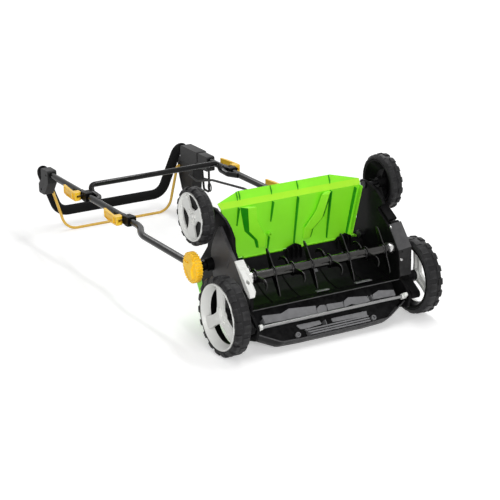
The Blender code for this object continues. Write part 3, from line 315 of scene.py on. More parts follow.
def drawn_group():
    tree, inside, outside = new_group(
        "drawn_metal",
        [("Colour", "Color", (0.5, 0.5, 0.5, 1.0)), ("Dull", "Color", (0.2, 0.2, 0.2, 1.0)),
         ("Roughness", "Float", 0.3), ("Stain", "Float", 0.3)], RESULTS)
    place = add(tree, "TexCoord").outputs["Object"]
    stretch = add(tree, "Mapping", Scale=ALONG_THE_BAR)
    tree.links.new(place, stretch.inputs["Vector"])
    streak = noise(tree, stretch.outputs["Vector"], 1.0, 4.0)
    stain = remap(tree, noise(tree, place, 42.0, 5.0, 0.65), 0.45, 0.72, 0.0, 1.0)
    share = work_out(tree, "MULTIPLY", stain, inside.outputs["Stain"])
    lines = remap(tree, streak, 0.35, 0.7, 0.0, 0.25)
    amount = work_out(tree, "MINIMUM", work_out(tree, "ADD", share, lines), 1.0)
    colour = blend_colours(tree, amount, inside.outputs["Colour"], inside.outputs["Dull"])
    rough = work_out(tree, "ADD", inside.outputs["Roughness"], remap(tree, streak, 0.3, 0.7, -0.05, 0.14))
    return hand_out(tree, outside, colour, rough, streak)


DRAWN = drawn_group()


def make_look(name, group, values, metallic=0.0, coat=0.0, bump=0.15, depth=0.0003, specular=0.5):
    """A material that feeds one group's results to the standard shader."""
    look = bpy.data.materials.new(name)
    tree = node_tree(look)
    source = add(tree, "Group", node_tree=group)
    for key, value in values.items():
        source.inputs[key].default_value = (*value, 1.0) if isinstance(value, tuple) else value
    shader = add(tree, "BsdfPrincipled", Metallic=metallic, Coat_Weight=coat, Coat_Roughness=0.08,
                 Specular_IOR_Level=specular)
    raised = add(tree, "Bump", Strength=bump, Distance=depth)
    out = add(tree, "OutputMaterial")
    tree.links.new(source.outputs["Colour"], shader.inputs["Base Color"])
    tree.links.new(source.outputs["Roughness"], shader.inputs["Roughness"])
    tree.links.new(source.outputs["Height"], raised.inputs["Height"])
    tree.links.new(raised.outputs["Normal"], shader.inputs["Normal"])
    tree.links.new(shader.outputs[0], out.inputs[0])
    return look

# %% [markdown]
# Each finish below is one of the two groups with its own colours and strengths. Colours are
# amounts of light, not screen values, which is why the black plastics have such small
# numbers. All finishes sit in one table, so that a piece names its look with a plain word.

# %% Finishes
def moulded(name, colour, scuffed_lit_edge, roughness, grain=900.0, clouds=0.1, edge_scuff_and_light=0.35, **more):
    return make_look(name, MOULDED, {"Colour": colour, "Scuffed And Lit Edge": scuffed_lit_edge, "Roughness": roughness,
                                     "Grain": grain, "Clouds": clouds, "Edge Scuff And Light": edge_scuff_and_light}, **more)


def drawn(name, colour, dull, roughness, stain, **more):
    return make_look(name, DRAWN, {"Colour": colour, "Dull": dull, "Roughness": roughness,
                                   "Stain": stain}, metallic=1.0, **more)


LOOKS = {
    "deck": moulded("deck_black_plastic", (0.0032, 0.0031, 0.0033), (0.09, 0.09, 0.093), 0.34, edge_scuff_and_light=0.1,
                    bump=0.3, specular=0.05),
    # Painted sheen: a grey standing for lamp light on black plastic, used on the skirt field, the belt lands
    # and the lit edge beads.
    "land": moulded("black_plastic_painted_sheen", (0.04, 0.039, 0.041), (0.13, 0.13, 0.13), 0.48,
                    bump=0.3, specular=0.3),
    # Painted shade: a darker copy of the sheen grey, for the belt land past its fold.
    "land_dark": moulded("black_plastic_painted_dim_sheen", (0.014, 0.0137, 0.0142), (0.1, 0.1, 0.1), 0.44,
                         bump=0.3, specular=0.12),
    "nose": moulded("nose_grey_plastic", (0.125, 0.125, 0.13), (0.36, 0.36, 0.37), 0.34,
                    bump=0.3, specular=0.4),
    "green": moulded("green_plastic", (0.235, 0.78, 0.018), (0.42, 0.9, 0.06), 0.38,
                     grain=700.0, clouds=0.07, bump=0.12, specular=0.35),
    # Painted light: a brighter copy of the green for the flap lip, which faces the lamps.
    "lit_lip_green": moulded("green_plastic_painted_light", (0.35, 0.76, 0.016), (0.6, 0.95, 0.12), 0.38,
                    grain=700.0, clouds=0.06, bump=0.12, specular=0.35),
    # Painted light: a brighter copy of the green for the lit chute faces.
    "spring": moulded("green_plastic_painted_light_wedge", (0.27, 0.86, 0.02), (0.5, 0.95, 0.08), 0.38,
                      grain=700.0, clouds=0.07, bump=0.12, specular=0.35),
    # Painted shade: a dark copy of the green for the flap ribs and the chutes' steep flanks.
    "shaded_green": moulded("green_painted_shade", (0.008, 0.25, 0.004), (0.12, 0.6, 0.02), 0.42,
                         clouds=0.08, edge_scuff_and_light=0.25, bump=0.12, specular=0.25),
    "yellow": moulded("yellow_plastic", (0.98, 0.58, 0.008), (1.0, 0.78, 0.2), 0.38,
                      edge_scuff_and_light=0.45, bump=0.14, specular=0.3),
    "lemon": moulded("yellow_lever_plastic", (0.95, 0.56, 0.016), (1.0, 0.82, 0.28), 0.36,
                     edge_scuff_and_light=0.45, bump=0.14, specular=0.3),
    "mustard": moulded("mustard_wire_coating", (0.8, 0.47, 0.05), (0.95, 0.74, 0.25), 0.3,
                       edge_scuff_and_light=0.3, coat=0.2, bump=0.06),
    "white": moulded("pale_plastic", (0.69, 0.695, 0.67), (0.88, 0.88, 0.86), 0.38,
                     clouds=0.05, edge_scuff_and_light=0.2, bump=0.1, specular=0.35),
    "rubber": moulded("tyre_rubber", (0.011, 0.0108, 0.0114), (0.11, 0.11, 0.114), 0.46,
                      grain=1100.0, clouds=0.3, edge_scuff_and_light=0.6, bump=0.5, specular=0.14),
    "gloss": moulded("gloss_tube_paint", (0.0026, 0.0026, 0.0028), (0.03, 0.03, 0.03), 0.12,
                     edge_scuff_and_light=0.15, bump=0.03, specular=0.2),
    "foam": moulded("grip_foam", (0.0105, 0.0105, 0.011), (0.02, 0.02, 0.022), 0.9,
                    grain=1700.0, clouds=0.25, edge_scuff_and_light=0.2, bump=0.75, depth=0.0006, specular=0.08),
    "rotor": drawn("rotor_dark_steel", (0.062, 0.061, 0.059), (0.022, 0.021, 0.02), 0.13, 0.3,
                   bump=0.03),
    "steel": drawn("bright_steel", (0.64, 0.64, 0.63), (0.3, 0.29, 0.28), 0.22, 0.25, bump=0.08),
    "rod": drawn("rod_dull_steel", (0.3, 0.3, 0.3), (0.12, 0.12, 0.12), 0.26, 0.3, bump=0.08),
    "blade": drawn("blade_steel", (0.046, 0.045, 0.045), (0.014, 0.013, 0.013), 0.26, 0.4,
                   bump=0.12),
    "dark_bolt": drawn("dark_bolt_steel", (0.05, 0.05, 0.052), (0.02, 0.02, 0.02), 0.35, 0.4,
                       bump=0.1),
    "motor": moulded("motor_can_paint", (0.06, 0.062, 0.066), (0.22, 0.22, 0.23), 0.38,
                     clouds=0.15, bump=0.1, specular=0.35),
    "belt": moulded("belt_rubber", (0.012, 0.012, 0.013), (0.05, 0.05, 0.05), 0.68, bump=0.4,
                    specular=0.2),
    "cable": moulded("lead_jacket", (0.0075, 0.0075, 0.008), (0.04, 0.04, 0.04), 0.42, bump=0.15,
                     specular=0.2),
    "switch": moulded("switch_black_plastic", (0.01, 0.0098, 0.0102), (0.12, 0.12, 0.125), 0.42,
                      bump=0.28, specular=0.14),
}
print("finishes:", len(LOOKS))

# %% [markdown]
# A moulded shell is an outline drawn out to a thickness, a wheel or a shaft is a profile
# turned about its axle, and a handle is a round tube along a path. Three short helpers
# cover these, working on a mesh in memory so that booleans and copies stay cheap.

# %% Outline and path helpers
def fillet(points, radius, steps=4, closed=True):
    """Rounds the corners of an outline with short curves."""
    out = []
    for i, corner in enumerate(points):
        here = Vector(corner)
        if not closed and i in (0, len(points) - 1):
            out.append(here)
            continue
        before = Vector(points[i - 1]) - here
        after = Vector(points[(i + 1) % len(points)]) - here
        turn = before.angle(after)
        reach = radius / max(0.05, abs(tan(turn / 2)))
        reach = min(reach, before.length * 0.45, after.length * 0.45)
        start = here + before.normalized() * reach
        end = here + after.normalized() * reach
        for k in range(steps + 1):
            t = k / steps
            out.append(start * (1 - t) ** 2 + here * 2 * t * (1 - t) + end * t * t)
    return out


def at(y, z):
    """A centre in the plane of y and z, where most outlines are drawn."""
    return Vector((0.0, y, z))


ORIGIN = at(0.0, 0.0)


def circle(centre, radius, sides):
    return [(centre.y + radius * cos(2 * pi * k / sides),
             centre.z + radius * sin(2 * pi * k / sides)) for k in range(sides)]


def corners(y0, y1, z0, z1):
    return [(y0, z0), (y1, z0), (y1, z1), (y0, z1)]


def arc(radius, start, end, count):
    """Points on an arc about the origin, between two directions in degrees."""
    turns = [radians(start + (end - start) * k / (count - 1)) for k in range(count)]
    return [(radius * cos(t), radius * sin(t)) for t in turns]


def around(points, centre, angle):
    """An outline turned about its own origin and then put at a centre."""
    return [(centre.y + p[0] * cos(angle) - p[1] * sin(angle),
             centre.z + p[0] * sin(angle) + p[1] * cos(angle)) for p in points]


def shifted(outline, centre):
    return [(p[0] + centre.y, p[1] + centre.z) for p in outline]


def thick_path(path, thick):
    """Outline of a bent sheet: the path is one side, the thickness lies to its left."""
    outer = []
    for i, point in enumerate(path):
        along = (Vector(path[min(len(path) - 1, i + 1)]) - Vector(path[max(0, i - 1)])).normalized()
        outer.append(Vector(point) + Vector((-along.y, along.x)) * thick)
    return [Vector(p) for p in path] + outer[::-1]


def bend(points, radius, steps=8):
    """Rounds the corners of a path in space with true arcs."""
    out = [Vector(points[0])]
    for i in range(1, len(points) - 1):
        here = Vector(points[i])
        before = (Vector(points[i - 1]) - here).normalized()
        after = (Vector(points[i + 1]) - here).normalized()
        size = radius[i - 1] if isinstance(radius, (list, tuple)) else radius
        half = before.angle(after) / 2
        centre = here + (before + after).normalized() * (size / sin(half))
        first = here + before * (size / tan(half)) - centre
        last = here + after * (size / tan(half)) - centre
        span = first.angle(last)
        for k in range(steps + 1):
            t = k / steps
            out.append(centre + first * (sin((1 - t) * span) / sin(span))
                       + last * (sin(t * span) / sin(span)))
    out.append(Vector(points[-1]))
    return out


def path_length(path):
    return sum((b - a).length for a, b in zip(path, path[1:]))


def stretch_of(path, start, end):
    """The stretch of a path between two lengths measured from its first point."""
    out = []
    run = 0.0
    for a, b in zip(path, path[1:]):
        step = (b - a).length
        if run + step > start and not out:
            out.append(a.lerp(b, (start - run) / step))
        if out and run + step < end:
            out.append(b.copy())
        if run + step >= end:
            out.append(a.lerp(b, (end - run) / step))
            break
        run += step
    return out

# %% [markdown]
# Nearly every piece of such a machine is moulded, cut from sheet or turned. So a few makers
# are enough: an outline pushed along one direction, a profile spun about a line, a round bar
# along a path, and cuts. They give closed solids that can be joined or carved further.

# %% Solid helpers
def prism(outline, x0, x1):
    """An outline in the plane of y and z, drawn out along x."""
    bm = bmesh.new()
    face = bm.faces.new([bm.verts.new((x0, p[0], p[1])) for p in outline])
    drawn_out = bmesh.ops.extrude_face_region(bm, geom=[face])["geom"]
    tops = [item for item in drawn_out if isinstance(item, bmesh.types.BMVert)]
    bmesh.ops.translate(bm, verts=tops, vec=(x1 - x0, 0.0, 0.0))
    bmesh.ops.recalc_face_normals(bm, faces=bm.faces)
    return bm


PLAN_TURN = Matrix(((0, 1, 0, 0), (0, 0, 1, 0), (1, 0, 0, 0), (0, 0, 0, 1)))


def plan(outline, z0, z1):
    """An outline in the plane of x and y, drawn out along z."""
    return placed(prism(outline, z0, z1), PLAN_TURN)


def block(x0, x1, y0, y1, z0, z1):
    return prism(corners(y0, y1, z0, z1), x0, x1)


def disc(centre, radius, sides, x0, x1):
    return prism(circle(centre, radius, sides), x0, x1)


SPIN_JOIN = 2e-6


def turned(profile, steps, centre=ORIGIN, angle=2 * pi):
    """A profile of x and radius, spun about a line along x."""
    bm = bmesh.new()
    verts = [bm.verts.new((x, centre.y + r, centre.z)) for x, r in profile]
    solid = max(profile[0][1], profile[-1][1]) > 0.0
    whole = angle == 2 * pi
    if solid and not whole:
        geom = [bm.faces.new(verts)]
    else:
        geom = [bm.edges.new(pair) for pair in zip(verts, verts[1:])]
        if solid:
            geom.append(bm.edges.new((verts[-1], verts[0])))
    bmesh.ops.spin(bm, geom=geom if solid and not whole else geom + verts,
                   cent=(0.0, centre.y, centre.z), axis=(1.0, 0.0, 0.0), angle=angle, steps=steps,
                   use_merge=whole)
    bmesh.ops.remove_doubles(bm, verts=bm.verts, dist=SPIN_JOIN)
    bmesh.ops.recalc_face_normals(bm, faces=bm.faces)
    return bm


def lofted(*rings):
    """A closed solid through rings of corners, all with the same number of them."""
    bm = bmesh.new()
    rows = [[bm.verts.new(p) for p in ring] for ring in rings]
    bm.faces.new(rows[0])
    bm.faces.new(rows[-1][::-1])
    for low, high in zip(rows, rows[1:]):
        for i in range(len(low)):
            k = (i + 1) % len(low)
            bm.faces.new((low[i], low[k], high[k], high[i]))
    bmesh.ops.recalc_face_normals(bm, faces=bm.faces)
    return bm


def tube(path, radius, sides=20, closed=False):
    """A round bar along a path, made as a curve and then turned into a mesh."""
    curve = bpy.data.curves.new("path", "CURVE")
    curve.dimensions = "3D"
    curve.bevel_depth = radius
    curve.bevel_resolution = max(0, sides // 4 - 1)
    curve.use_fill_caps = True
    spline = curve.splines.new("POLY")
    spline.points.add(len(path) - 1)
    for point, place in zip(spline.points, path):
        point.co = (*place, 1.0)
    spline.use_cyclic_u = closed
    holder = bpy.data.objects.new("path", curve)
    bpy.context.scene.collection.objects.link(holder)
    graph = bpy.context.evaluated_depsgraph_get()
    mesh = bpy.data.meshes.new_from_object(holder.evaluated_get(graph))
    bpy.data.objects.remove(holder, do_unlink=True)
    bm = bmesh.new()
    bm.from_mesh(mesh)
    bmesh.ops.remove_doubles(bm, verts=bm.verts, dist=SPIN_JOIN)
    return bm


def placed(bm, matrix):
    bmesh.ops.transform(bm, matrix=matrix, verts=bm.verts)
    if matrix.determinant() < 0:
        bmesh.ops.reverse_faces(bm, faces=bm.faces)
    return bm


def together(*solids):
    """Several closed solids kept in one mesh."""
    whole = bmesh.new()
    for bm in solids:
        mesh = bpy.data.meshes.new("part")
        bm.to_mesh(mesh)
        bm.free()
        whole.from_mesh(mesh)
        bpy.data.meshes.remove(mesh)
    return whole


CUT, JOIN, KEEP = "DIFFERENCE", "UNION", "INTERSECT"


def carved(base, *steps):
    """A solid joined with or cut by others, each given as (mode, solid)."""
    holders = []
    for bm in [base] + [part for mode, part in steps]:
        mesh = bpy.data.meshes.new("blank")
        bm.to_mesh(mesh)
        bm.free()
        holder = bpy.data.objects.new("blank", mesh)
        bpy.context.scene.collection.objects.link(holder)
        holders.append(holder)
    for (mode, part), holder in zip(steps, holders[1:]):
        step = holders[0].modifiers.new("step", "BOOLEAN")
        step.operation = mode
        step.solver = "EXACT"
        step.object = holder
    graph = bpy.context.evaluated_depsgraph_get()
    done = bpy.data.meshes.new_from_object(holders[0].evaluated_get(graph))
    result = bmesh.new()
    result.from_mesh(done)
    for holder in holders:
        bpy.data.objects.remove(holder, do_unlink=True)
    return result


MIRROR = Matrix.Diagonal((-1.0, 1.0, 1.0, 1.0))
SIDES = (-1, 1)


def on_side(bm, side):
    return placed(bm, MIRROR) if side < 0 else bm


def side_name(side):
    return "left" if side < 0 else "right"

# %% [markdown]
# Each piece is finished the same way: tipped into the stance, given small rounded edges as
# every moulding and folded sheet has, tied to the body that carries it, and put in place of
# its frame node, which is hidden. Plain bevels catch light along edges like real ones do.

# %% Finishing a piece
EDGE_ANGLE = radians(33)
PIECE_JOIN = 4e-6


def finish(name, solids, look, node=None, edge=0.0007, slot=None, ties=True):
    """Makes the visible piece and ties it to its frame node, its own name unless given."""
    node = node or name
    bm = together(*solids) if isinstance(solids, list) else solids
    bmesh.ops.remove_doubles(bm, verts=bm.verts, dist=PIECE_JOIN)
    placed(bm, STANCE)
    bmesh.ops.recalc_face_normals(bm, faces=bm.faces)
    mesh = bpy.data.meshes.new(name)
    bm.to_mesh(mesh)
    bm.free()
    for face in mesh.polygons:
        face.use_smooth = True
    mesh.set_sharp_from_angle(angle=EDGE_ANGLE)
    mesh.materials.append(LOOKS[look])
    piece = bpy.data.objects.new(name, mesh)
    bpy.context.scene.collection.objects.link(piece)
    if edge:
        rounding = piece.modifiers.new("rounded_edges", "BEVEL")
        rounding.width = edge
        rounding.segments = 2
        rounding.limit_method = "ANGLE"
        rounding.angle_limit = EDGE_ANGLE
        rounding.harden_normals = True
    if ties:
        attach(piece, BODY_OF[node])
    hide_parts(node)
    return piece


def sided(stem, side, solids, look, node=None, **more):
    """Finishes a piece drawn for the right side, mirrored where it is the left one."""
    where = side_name(side)
    return finish(stem + where, on_side(together(*solids), side), look, (node or stem) + where, **more)

# %% [markdown]
# ## Wheels
# The front wheels are large and open, the rear ones smaller, with a closed drum inside. A
# tyre is a turned carcass with blocks standing on its outer shoulder and low wide ones over
# the tread. Each block is a short partial turn of one face, so it follows the tyre exactly.

# %% Tyres
FRONT_R = (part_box("front_tyre_left")[1].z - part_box("front_tyre_left")[0].z) / 2
REAR_R = (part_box("rear_tyre_left")[1].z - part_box("rear_tyre_left")[0].z) / 2
FRONT_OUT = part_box("front_tyre_right")[1].x
REAR_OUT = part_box("rear_tyre_right")[1].x
FRONT_WIDE = 0.043
REAR_WIDE = 0.035
REAR_AXLE = upright(middle("rear_tyre_left"))
RIM_SHARE = 0.835
BLOCK_DROP = 0.0026
FRONT_BLOCKS = 18
REAR_BLOCKS = 15


def tyre(stem, centre, radius, outer, wide, blocks, side):
    inner = outer - wide
    rim = radius * RIM_SHARE + 0.0003
    base = radius - BLOCK_DROP
    carcass = [(inner + 0.002, rim), (inner + 0.0004, rim + 0.004), (inner, base - 0.009),
               (inner + 0.0012, base - 0.0045), (inner + 0.0045, base - 0.0012),
               (inner + 0.011, base), (outer - 0.015, base), (outer - 0.0065, base - 0.0014),
               (outer - 0.0028, base - 0.0055), (outer - 0.0016, rim + 0.004),
               (outer - 0.0024, rim + 0.001), (outer - 0.0045, rim)]
    solids = [turned(carcass, 96, centre)]
    shoulder = [(outer - 0.0165, base - 0.003), (outer - 0.015, radius - 0.0006),
                (outer - 0.0125, radius), (outer - 0.0055, radius - 0.0006),
                (outer - 0.001, radius - 0.0045), (outer, rim + 0.0045),
                (outer - 0.0012, rim + 0.0022), (outer - 0.004, rim + 0.006)]
    tread = [(inner + 0.003, base - 0.003), (inner + 0.005, base + 0.0006),
             (inner + 0.0075, base + 0.0012), (outer - 0.0225, base + 0.0012),
             (outer - 0.0205, base + 0.0006), (outer - 0.02, base - 0.003)]
    pitch = 2 * pi / blocks
    to_axle = Matrix.Translation((0.0, centre.y, centre.z))
    for k in range(blocks):
        for shape, start, share in ((shoulder, 0.0, 0.46), (tread, 0.3, 0.62)):
            part = turned(shape, 4, angle=pitch * share)
            solids.append(placed(part, to_axle @ Matrix.Rotation((k + start) * pitch, 4, "X")))
    return sided(stem, side, solids, "rubber", edge=0.0006)


for side in SIDES:
    tyre("front_tyre_", ORIGIN, FRONT_R, FRONT_OUT, FRONT_WIDE, FRONT_BLOCKS, side)
    tyre("rear_tyre_", REAR_AXLE, REAR_R, REAR_OUT, REAR_WIDE, REAR_BLOCKS, side)
print("front wheel radius", round(FRONT_R, 4), "rear", round(REAR_R, 4))

# %% [markdown]
# The pale hub is a shallow barrel with a thin lip, bridged by three wide flat spokes that
# meet in a raised block with a small dimple. Drawing the three spokes as one outline gives
# the rounded roots between them. The rear hub has three windows between its spokes, and
# behind both pale hubs sits a black inner half.

# %% Hubs
FRONT_SPOKES = radians(92) - TILT
REAR_SPOKES = radians(42) - TILT
AXLE_R = 0.0062
RIM_SPLIT = 0.0218


def spider(valley, near, far, half_near, half_far, turn, rounding):
    """Outline of three spokes, with rounded roots, about the wheel centre."""
    points = []
    for k in range(3):
        t = turn + 2 * pi * k / 3
        points.append((valley * cos(t - pi / 3), valley * sin(t - pi / 3)))
        for reach, half in ((near, -half_near), (far, -half_far), (far, half_far), (near, half_near)):
            points.append((reach * cos(t) - half * sin(t), reach * sin(t) + half * cos(t)))
    return fillet(points, rounding, 4)


def hub_middle(centre, outer, back, size, turn):
    """Raised block with a rim step and a dimple, and the bearing barrel behind it."""
    block_outline = spider(size * 0.85, size * 1.35, size * 1.9, size * 0.62, size * 0.52, turn, 0.003)
    raised = prism(shifted(block_outline, centre), outer - 0.01, outer - 0.0045)
    step = prism(shifted(spider(size * 0.7, size * 1.1, size * 1.45, size * 0.46, size * 0.4,
                                turn, 0.002), centre), outer - 0.005, outer - 0.0034)
    dimple = turned([(outer - 0.005, 0.0), (outer - 0.0028, 0.004), (outer + 0.01, 0.0046),
                     (outer + 0.01, 0.0)], 20, centre)
    barrel = turned([(back, AXLE_R), (back, 0.0135), (outer - 0.012, 0.0155),
                     (outer - 0.012, AXLE_R)], 36, centre)
    return [carved(raised, (JOIN, step), (CUT, dimple)), barrel]


def front_hub(side):
    outer = FRONT_OUT
    lip = FRONT_R * RIM_SHARE
    ring = [(outer - 0.0014, lip), (outer - 0.0002, lip - 0.0012), (outer - 0.0004, lip - 0.0034),
            (outer - 0.003, lip - 0.005), (outer - 0.013, lip - 0.008),
            (outer - 0.0215, lip - 0.014), (outer - 0.0215, lip)]
    spokes = spider(0.0165, 0.03, lip - 0.004, 0.0125, 0.016, FRONT_SPOKES, 0.006)
    solids = [turned(ring, 96), prism(spokes, outer - 0.0165, outer - 0.0088)]
    solids += hub_middle(ORIGIN, outer, outer - 0.0215, 0.0125, FRONT_SPOKES)
    for k in range(3):
        t = FRONT_SPOKES + 2 * pi * k / 3
        web = corners(0.016, lip - 0.006, -0.0011, 0.0011)
        solids.append(prism(around(web, ORIGIN, t), outer - 0.021, outer - 0.015))
    return sided("front_hub_", side, solids, "white", edge=0.0009)

# %% Rear hubs
def rear_hub(side):
    outer, inner = REAR_OUT, REAR_OUT - REAR_WIDE
    lip = REAR_R * RIM_SHARE
    ring = [(outer - 0.0014, lip), (outer - 0.0002, lip - 0.001), (outer - 0.0004, lip - 0.0028),
            (outer - 0.0024, lip - 0.0042), (outer - 0.012, lip - 0.0085),
            (outer - 0.012, lip)]
    face = turned([(outer - 0.013, AXLE_R), (outer - 0.013, lip - 0.004),
                   (outer - 0.0085, lip - 0.004), (outer - 0.0085, AXLE_R)], 72, REAR_AXLE)
    windows = []
    for k, (low, high, deep) in enumerate(((26, 94, 0.021), (146, 214, 0.024), (266, 334, 0.024))):
        a, b = REAR_SPOKES + radians(low), REAR_SPOKES + radians(high)
        outline = [(deep * cos(a), deep * sin(a))]
        outline += [((lip - 0.0085) * cos(a + (b - a) * j / 6), (lip - 0.0085) * sin(a + (b - a) * j / 6))
                    for j in range(7)]
        outline.append((deep * cos(b), deep * sin(b)))
        windows.append((CUT, prism(shifted(fillet(outline, 0.003, 3), REAR_AXLE),
                                   outer - 0.02, outer)))
    spokes = spider(0.014, 0.024, lip - 0.005, 0.0125, 0.017, REAR_SPOKES, 0.005)
    solids = [turned(ring, 84, REAR_AXLE), carved(face, *windows),
              prism(shifted(spokes, REAR_AXLE), outer - 0.009, outer - 0.0062)]
    solids += hub_middle(REAR_AXLE, outer + 0.0018, inner + 0.0195, 0.0095, REAR_SPOKES)
    return sided("rear_hub_", side, solids, "white", edge=0.0008)


def inner_ring(side):
    """Black inner half of the front rim, a wide open ring behind the pale one."""
    outer, inner = FRONT_OUT, FRONT_OUT - FRONT_WIDE
    lip = FRONT_R * RIM_SHARE
    split = outer - RIM_SPLIT
    profile = [(split, lip), (split, lip - 0.014), (inner + 0.008, lip - 0.009),
               (inner + 0.0024, lip - 0.006), (inner + 0.0018, lip - 0.0045), (inner + 0.0018, lip)]
    barrel = [(inner + 0.001, AXLE_R), (inner + 0.001, 0.0125), (split, 0.0135), (split, AXLE_R)]
    solids = [turned(profile, 84), turned(barrel, 36)]
    return sided("front_rim_back_", side, solids, "deck", "front_hub_", edge=0, slot="deck")


def rear_drum(side):
    """Black inner cone of the rear wheel with one strong radial rib, seen from the middle."""
    inner = REAR_OUT - REAR_WIDE
    lip = REAR_R * RIM_SHARE
    cone = turned([(inner + 0.02, 0.0066), (inner + 0.02, 0.03), (inner + 0.003, lip - 0.006),
                   (inner + 0.001, lip - 0.005), (inner + 0.001, lip - 0.001),
                   (inner + 0.023, lip - 0.001), (inner + 0.023, 0.0066)], 72, REAR_AXLE)
    boss = turned([(inner + 0.0008, 0.0066), (inner + 0.0008, 0.0125), (inner + 0.0205, 0.0165),
                   (inner + 0.0205, 0.0066)], 40, REAR_AXLE)
    ribs = []
    for turn, half in ((0, 0.0016), (120, 0.0009), (240, 0.0009)):
        rib = corners(0.012, lip - 0.012, -half, half)
        ribs.append(prism(around(rib, REAR_AXLE, radians(turn + 118) - TILT), inner + 0.008, inner + 0.0205))
    return sided("rear_drum_", side, [cone, boss] + ribs, "deck", "rear_hub_", edge=0.0006, slot="deck")


for side in SIDES:
    front_hub(side)
    inner_ring(side)
    rear_hub(side)
    rear_drum(side)

# %% [markdown]
# ## Deck
# The rotor turns in a black moulded tunnel open to the ground. Its wall is one bent sheet
# that drops into a cross wall in front of the blades. Pads, hinge brackets and stiffening
# ribs stand on it, and they catch the only light that reaches the black plastic.

# %% Hood and cross wall
WALL = 0.003
PLATE_IN = 0.2085
PLATE_OUT = 0.2155
SKIRT_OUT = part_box("belt_cover")[1].x
ROTOR = upright(middle("rotor_tube"))
HOOD_LINE = [(-0.15, 0.07), (-0.118, 0.074), (-0.08, 0.066), (-0.045, 0.05),
             (-0.015, 0.024), (0.003, -0.004), (0.007, -0.019)]


def hinge_bracket(x, half, drop):
    """Four ribs under a shallow gable roof that hold one barrel of the flap."""
    solids = []
    for k in (-3, -1, 1, 3):
        share = 1.0 - abs(k) / 3.6
        rib = [(-0.15 - drop * 0.43 * share, 0.059 - drop * share), (-0.141, 0.056 - drop * 0.8 * share),
               (-0.125, 0.07), (-0.13, 0.076), (-0.149, 0.0735)]
        solids.append(prism(rib, x + half * k / 3 - 0.001, x + half * k / 3 + 0.001))
    rings = []
    for k in (-1, 0, 1):
        place = x + k * (half + 0.0012)
        low = drop * (1.0 - abs(k) * 0.72)
        back = -0.15 - low * 0.43
        rings.append([(place, back, 0.059 - low), (place, back + 0.0032, 0.0584 - low),
                      (place, -0.144, 0.072), (place, -0.15, 0.0725)])
    solids.append(lofted(*rings))
    return solids


def hood():
    path = fillet(HOOD_LINE, 0.05, 6, False)
    solids = [prism(thick_path(path, WALL), -PLATE_IN + 0.0004, PLATE_IN - 0.0004)]
    for x, half, drop in ((-0.15, 0.01, 0.002), (0.006, 0.0195, 0.015), (0.15, 0.0195, 0.015)):
        solids += hinge_bracket(x, half, drop)
    for x in (-0.12, -0.045, 0.06, 0.14):
        rib = [(-0.095, 0.07), (-0.045, 0.049), (-0.015, 0.023), (-0.0168, 0.0218),
               (-0.046, 0.047), (-0.095, 0.068)]
        solids.append(prism(rib, x - 0.001, x + 0.001))
    return finish("rotor_hood", solids, "deck", "chassis_hood", edge=0.0006)


hood()


def wall_pads():
    """Two grey rubbing pads on the rotor side of the cross wall."""
    solids = []
    for x0, x1 in ((-0.004, 0.03), (0.107, 0.152)):
        pad = fillet([(-0.0165, 0.0195), (-0.0105, 0.01), (-0.0085, 0.0112), (-0.0145, 0.0208)], 0.0004, 2)
        solids.append(prism(shifted(pad, at(-0.003, -0.0016)), x0, x1))
    return finish("cross_wall_pads", solids, "nose", "chassis_hood", edge=0.0005, slot="deck")


wall_pads()


def seam_strip():
    """Rounded free edge of the cross wall, which catches a thin line of light, painted on it in grey as a
    highlight.
    """
    low = HOOD_LINE[-1]
    path = [(-PLATE_IN + 0.001, low[0] + 0.0012, low[1]), (PLATE_IN - 0.001, low[0] + 0.0012, low[1])]
    return finish("cross_wall_edge", tube(path, 0.0011, 12), "land", "chassis_hood", edge=0, slot="deck")


seam_strip()

# %% [markdown]
# The two side plates carry everything: the axles, the rotor bearings and the handle. The
# left one has a broad raised field on its outside. The right one has a small open box at
# its tail and the belt cover in front of it, whose edge spreads into two slanted lands.

# %% Side plates and skirts
PLATE_TAIL = [(-0.266, -0.018), (-0.254, -0.034), (-0.231, -0.0515), (-0.2085, -0.0655),
              (-0.185, -0.0715)]
LEFT_LOW = [(-0.157, -0.072), (-0.14, -0.059), (-0.13, -0.0535), (-0.01, -0.0535),
            (0.006, -0.04), (0.014, -0.024), (0.03, -0.03), (0.06, -0.033)]
RIGHT_LOW = [(-0.17, -0.071), (-0.176, -0.04), (-0.125, -0.056), (-0.09, -0.059),
             (-0.05, -0.059), (0.006, -0.02), (0.03, -0.03), (0.06, -0.033)]
PLATE_TOP = [(0.078, -0.005), (0.062, 0.03), (0.01, 0.09), (-0.05, 0.142), (-0.14, 0.15),
             (-0.186, 0.125), (-0.196, 0.06)]
FIELD = [(-0.205, -0.044), (-0.11, -0.054), (-0.04, -0.054), (-0.04, 0.01),
         (-0.12, 0.07), (-0.15, 0.056), (-0.176, 0.036), (-0.19, 0.01)]
FIELD_OUT = 0.2235
LAND_IN = 0.209
BOLT = upright(middle("knob_left"))


def plate_ribs():
    ribs = []
    for y0, z0, y1, z1 in ((-0.03, 0.02, 0.045, -0.015), (-0.05, 0.09, -0.01, 0.05),
                           (0.02, -0.02, 0.055, 0.02)):
        along = Vector((y1 - y0, z1 - z0)).normalized()
        cross = Vector((-along.y, along.x)) * 0.001
        a, b = Vector((y0, z0)), Vector((y1, z1))
        ribs.append(prism([a - cross, b - cross, b + cross, a + cross], PLATE_OUT - 0.0005, 0.219))
    return ribs


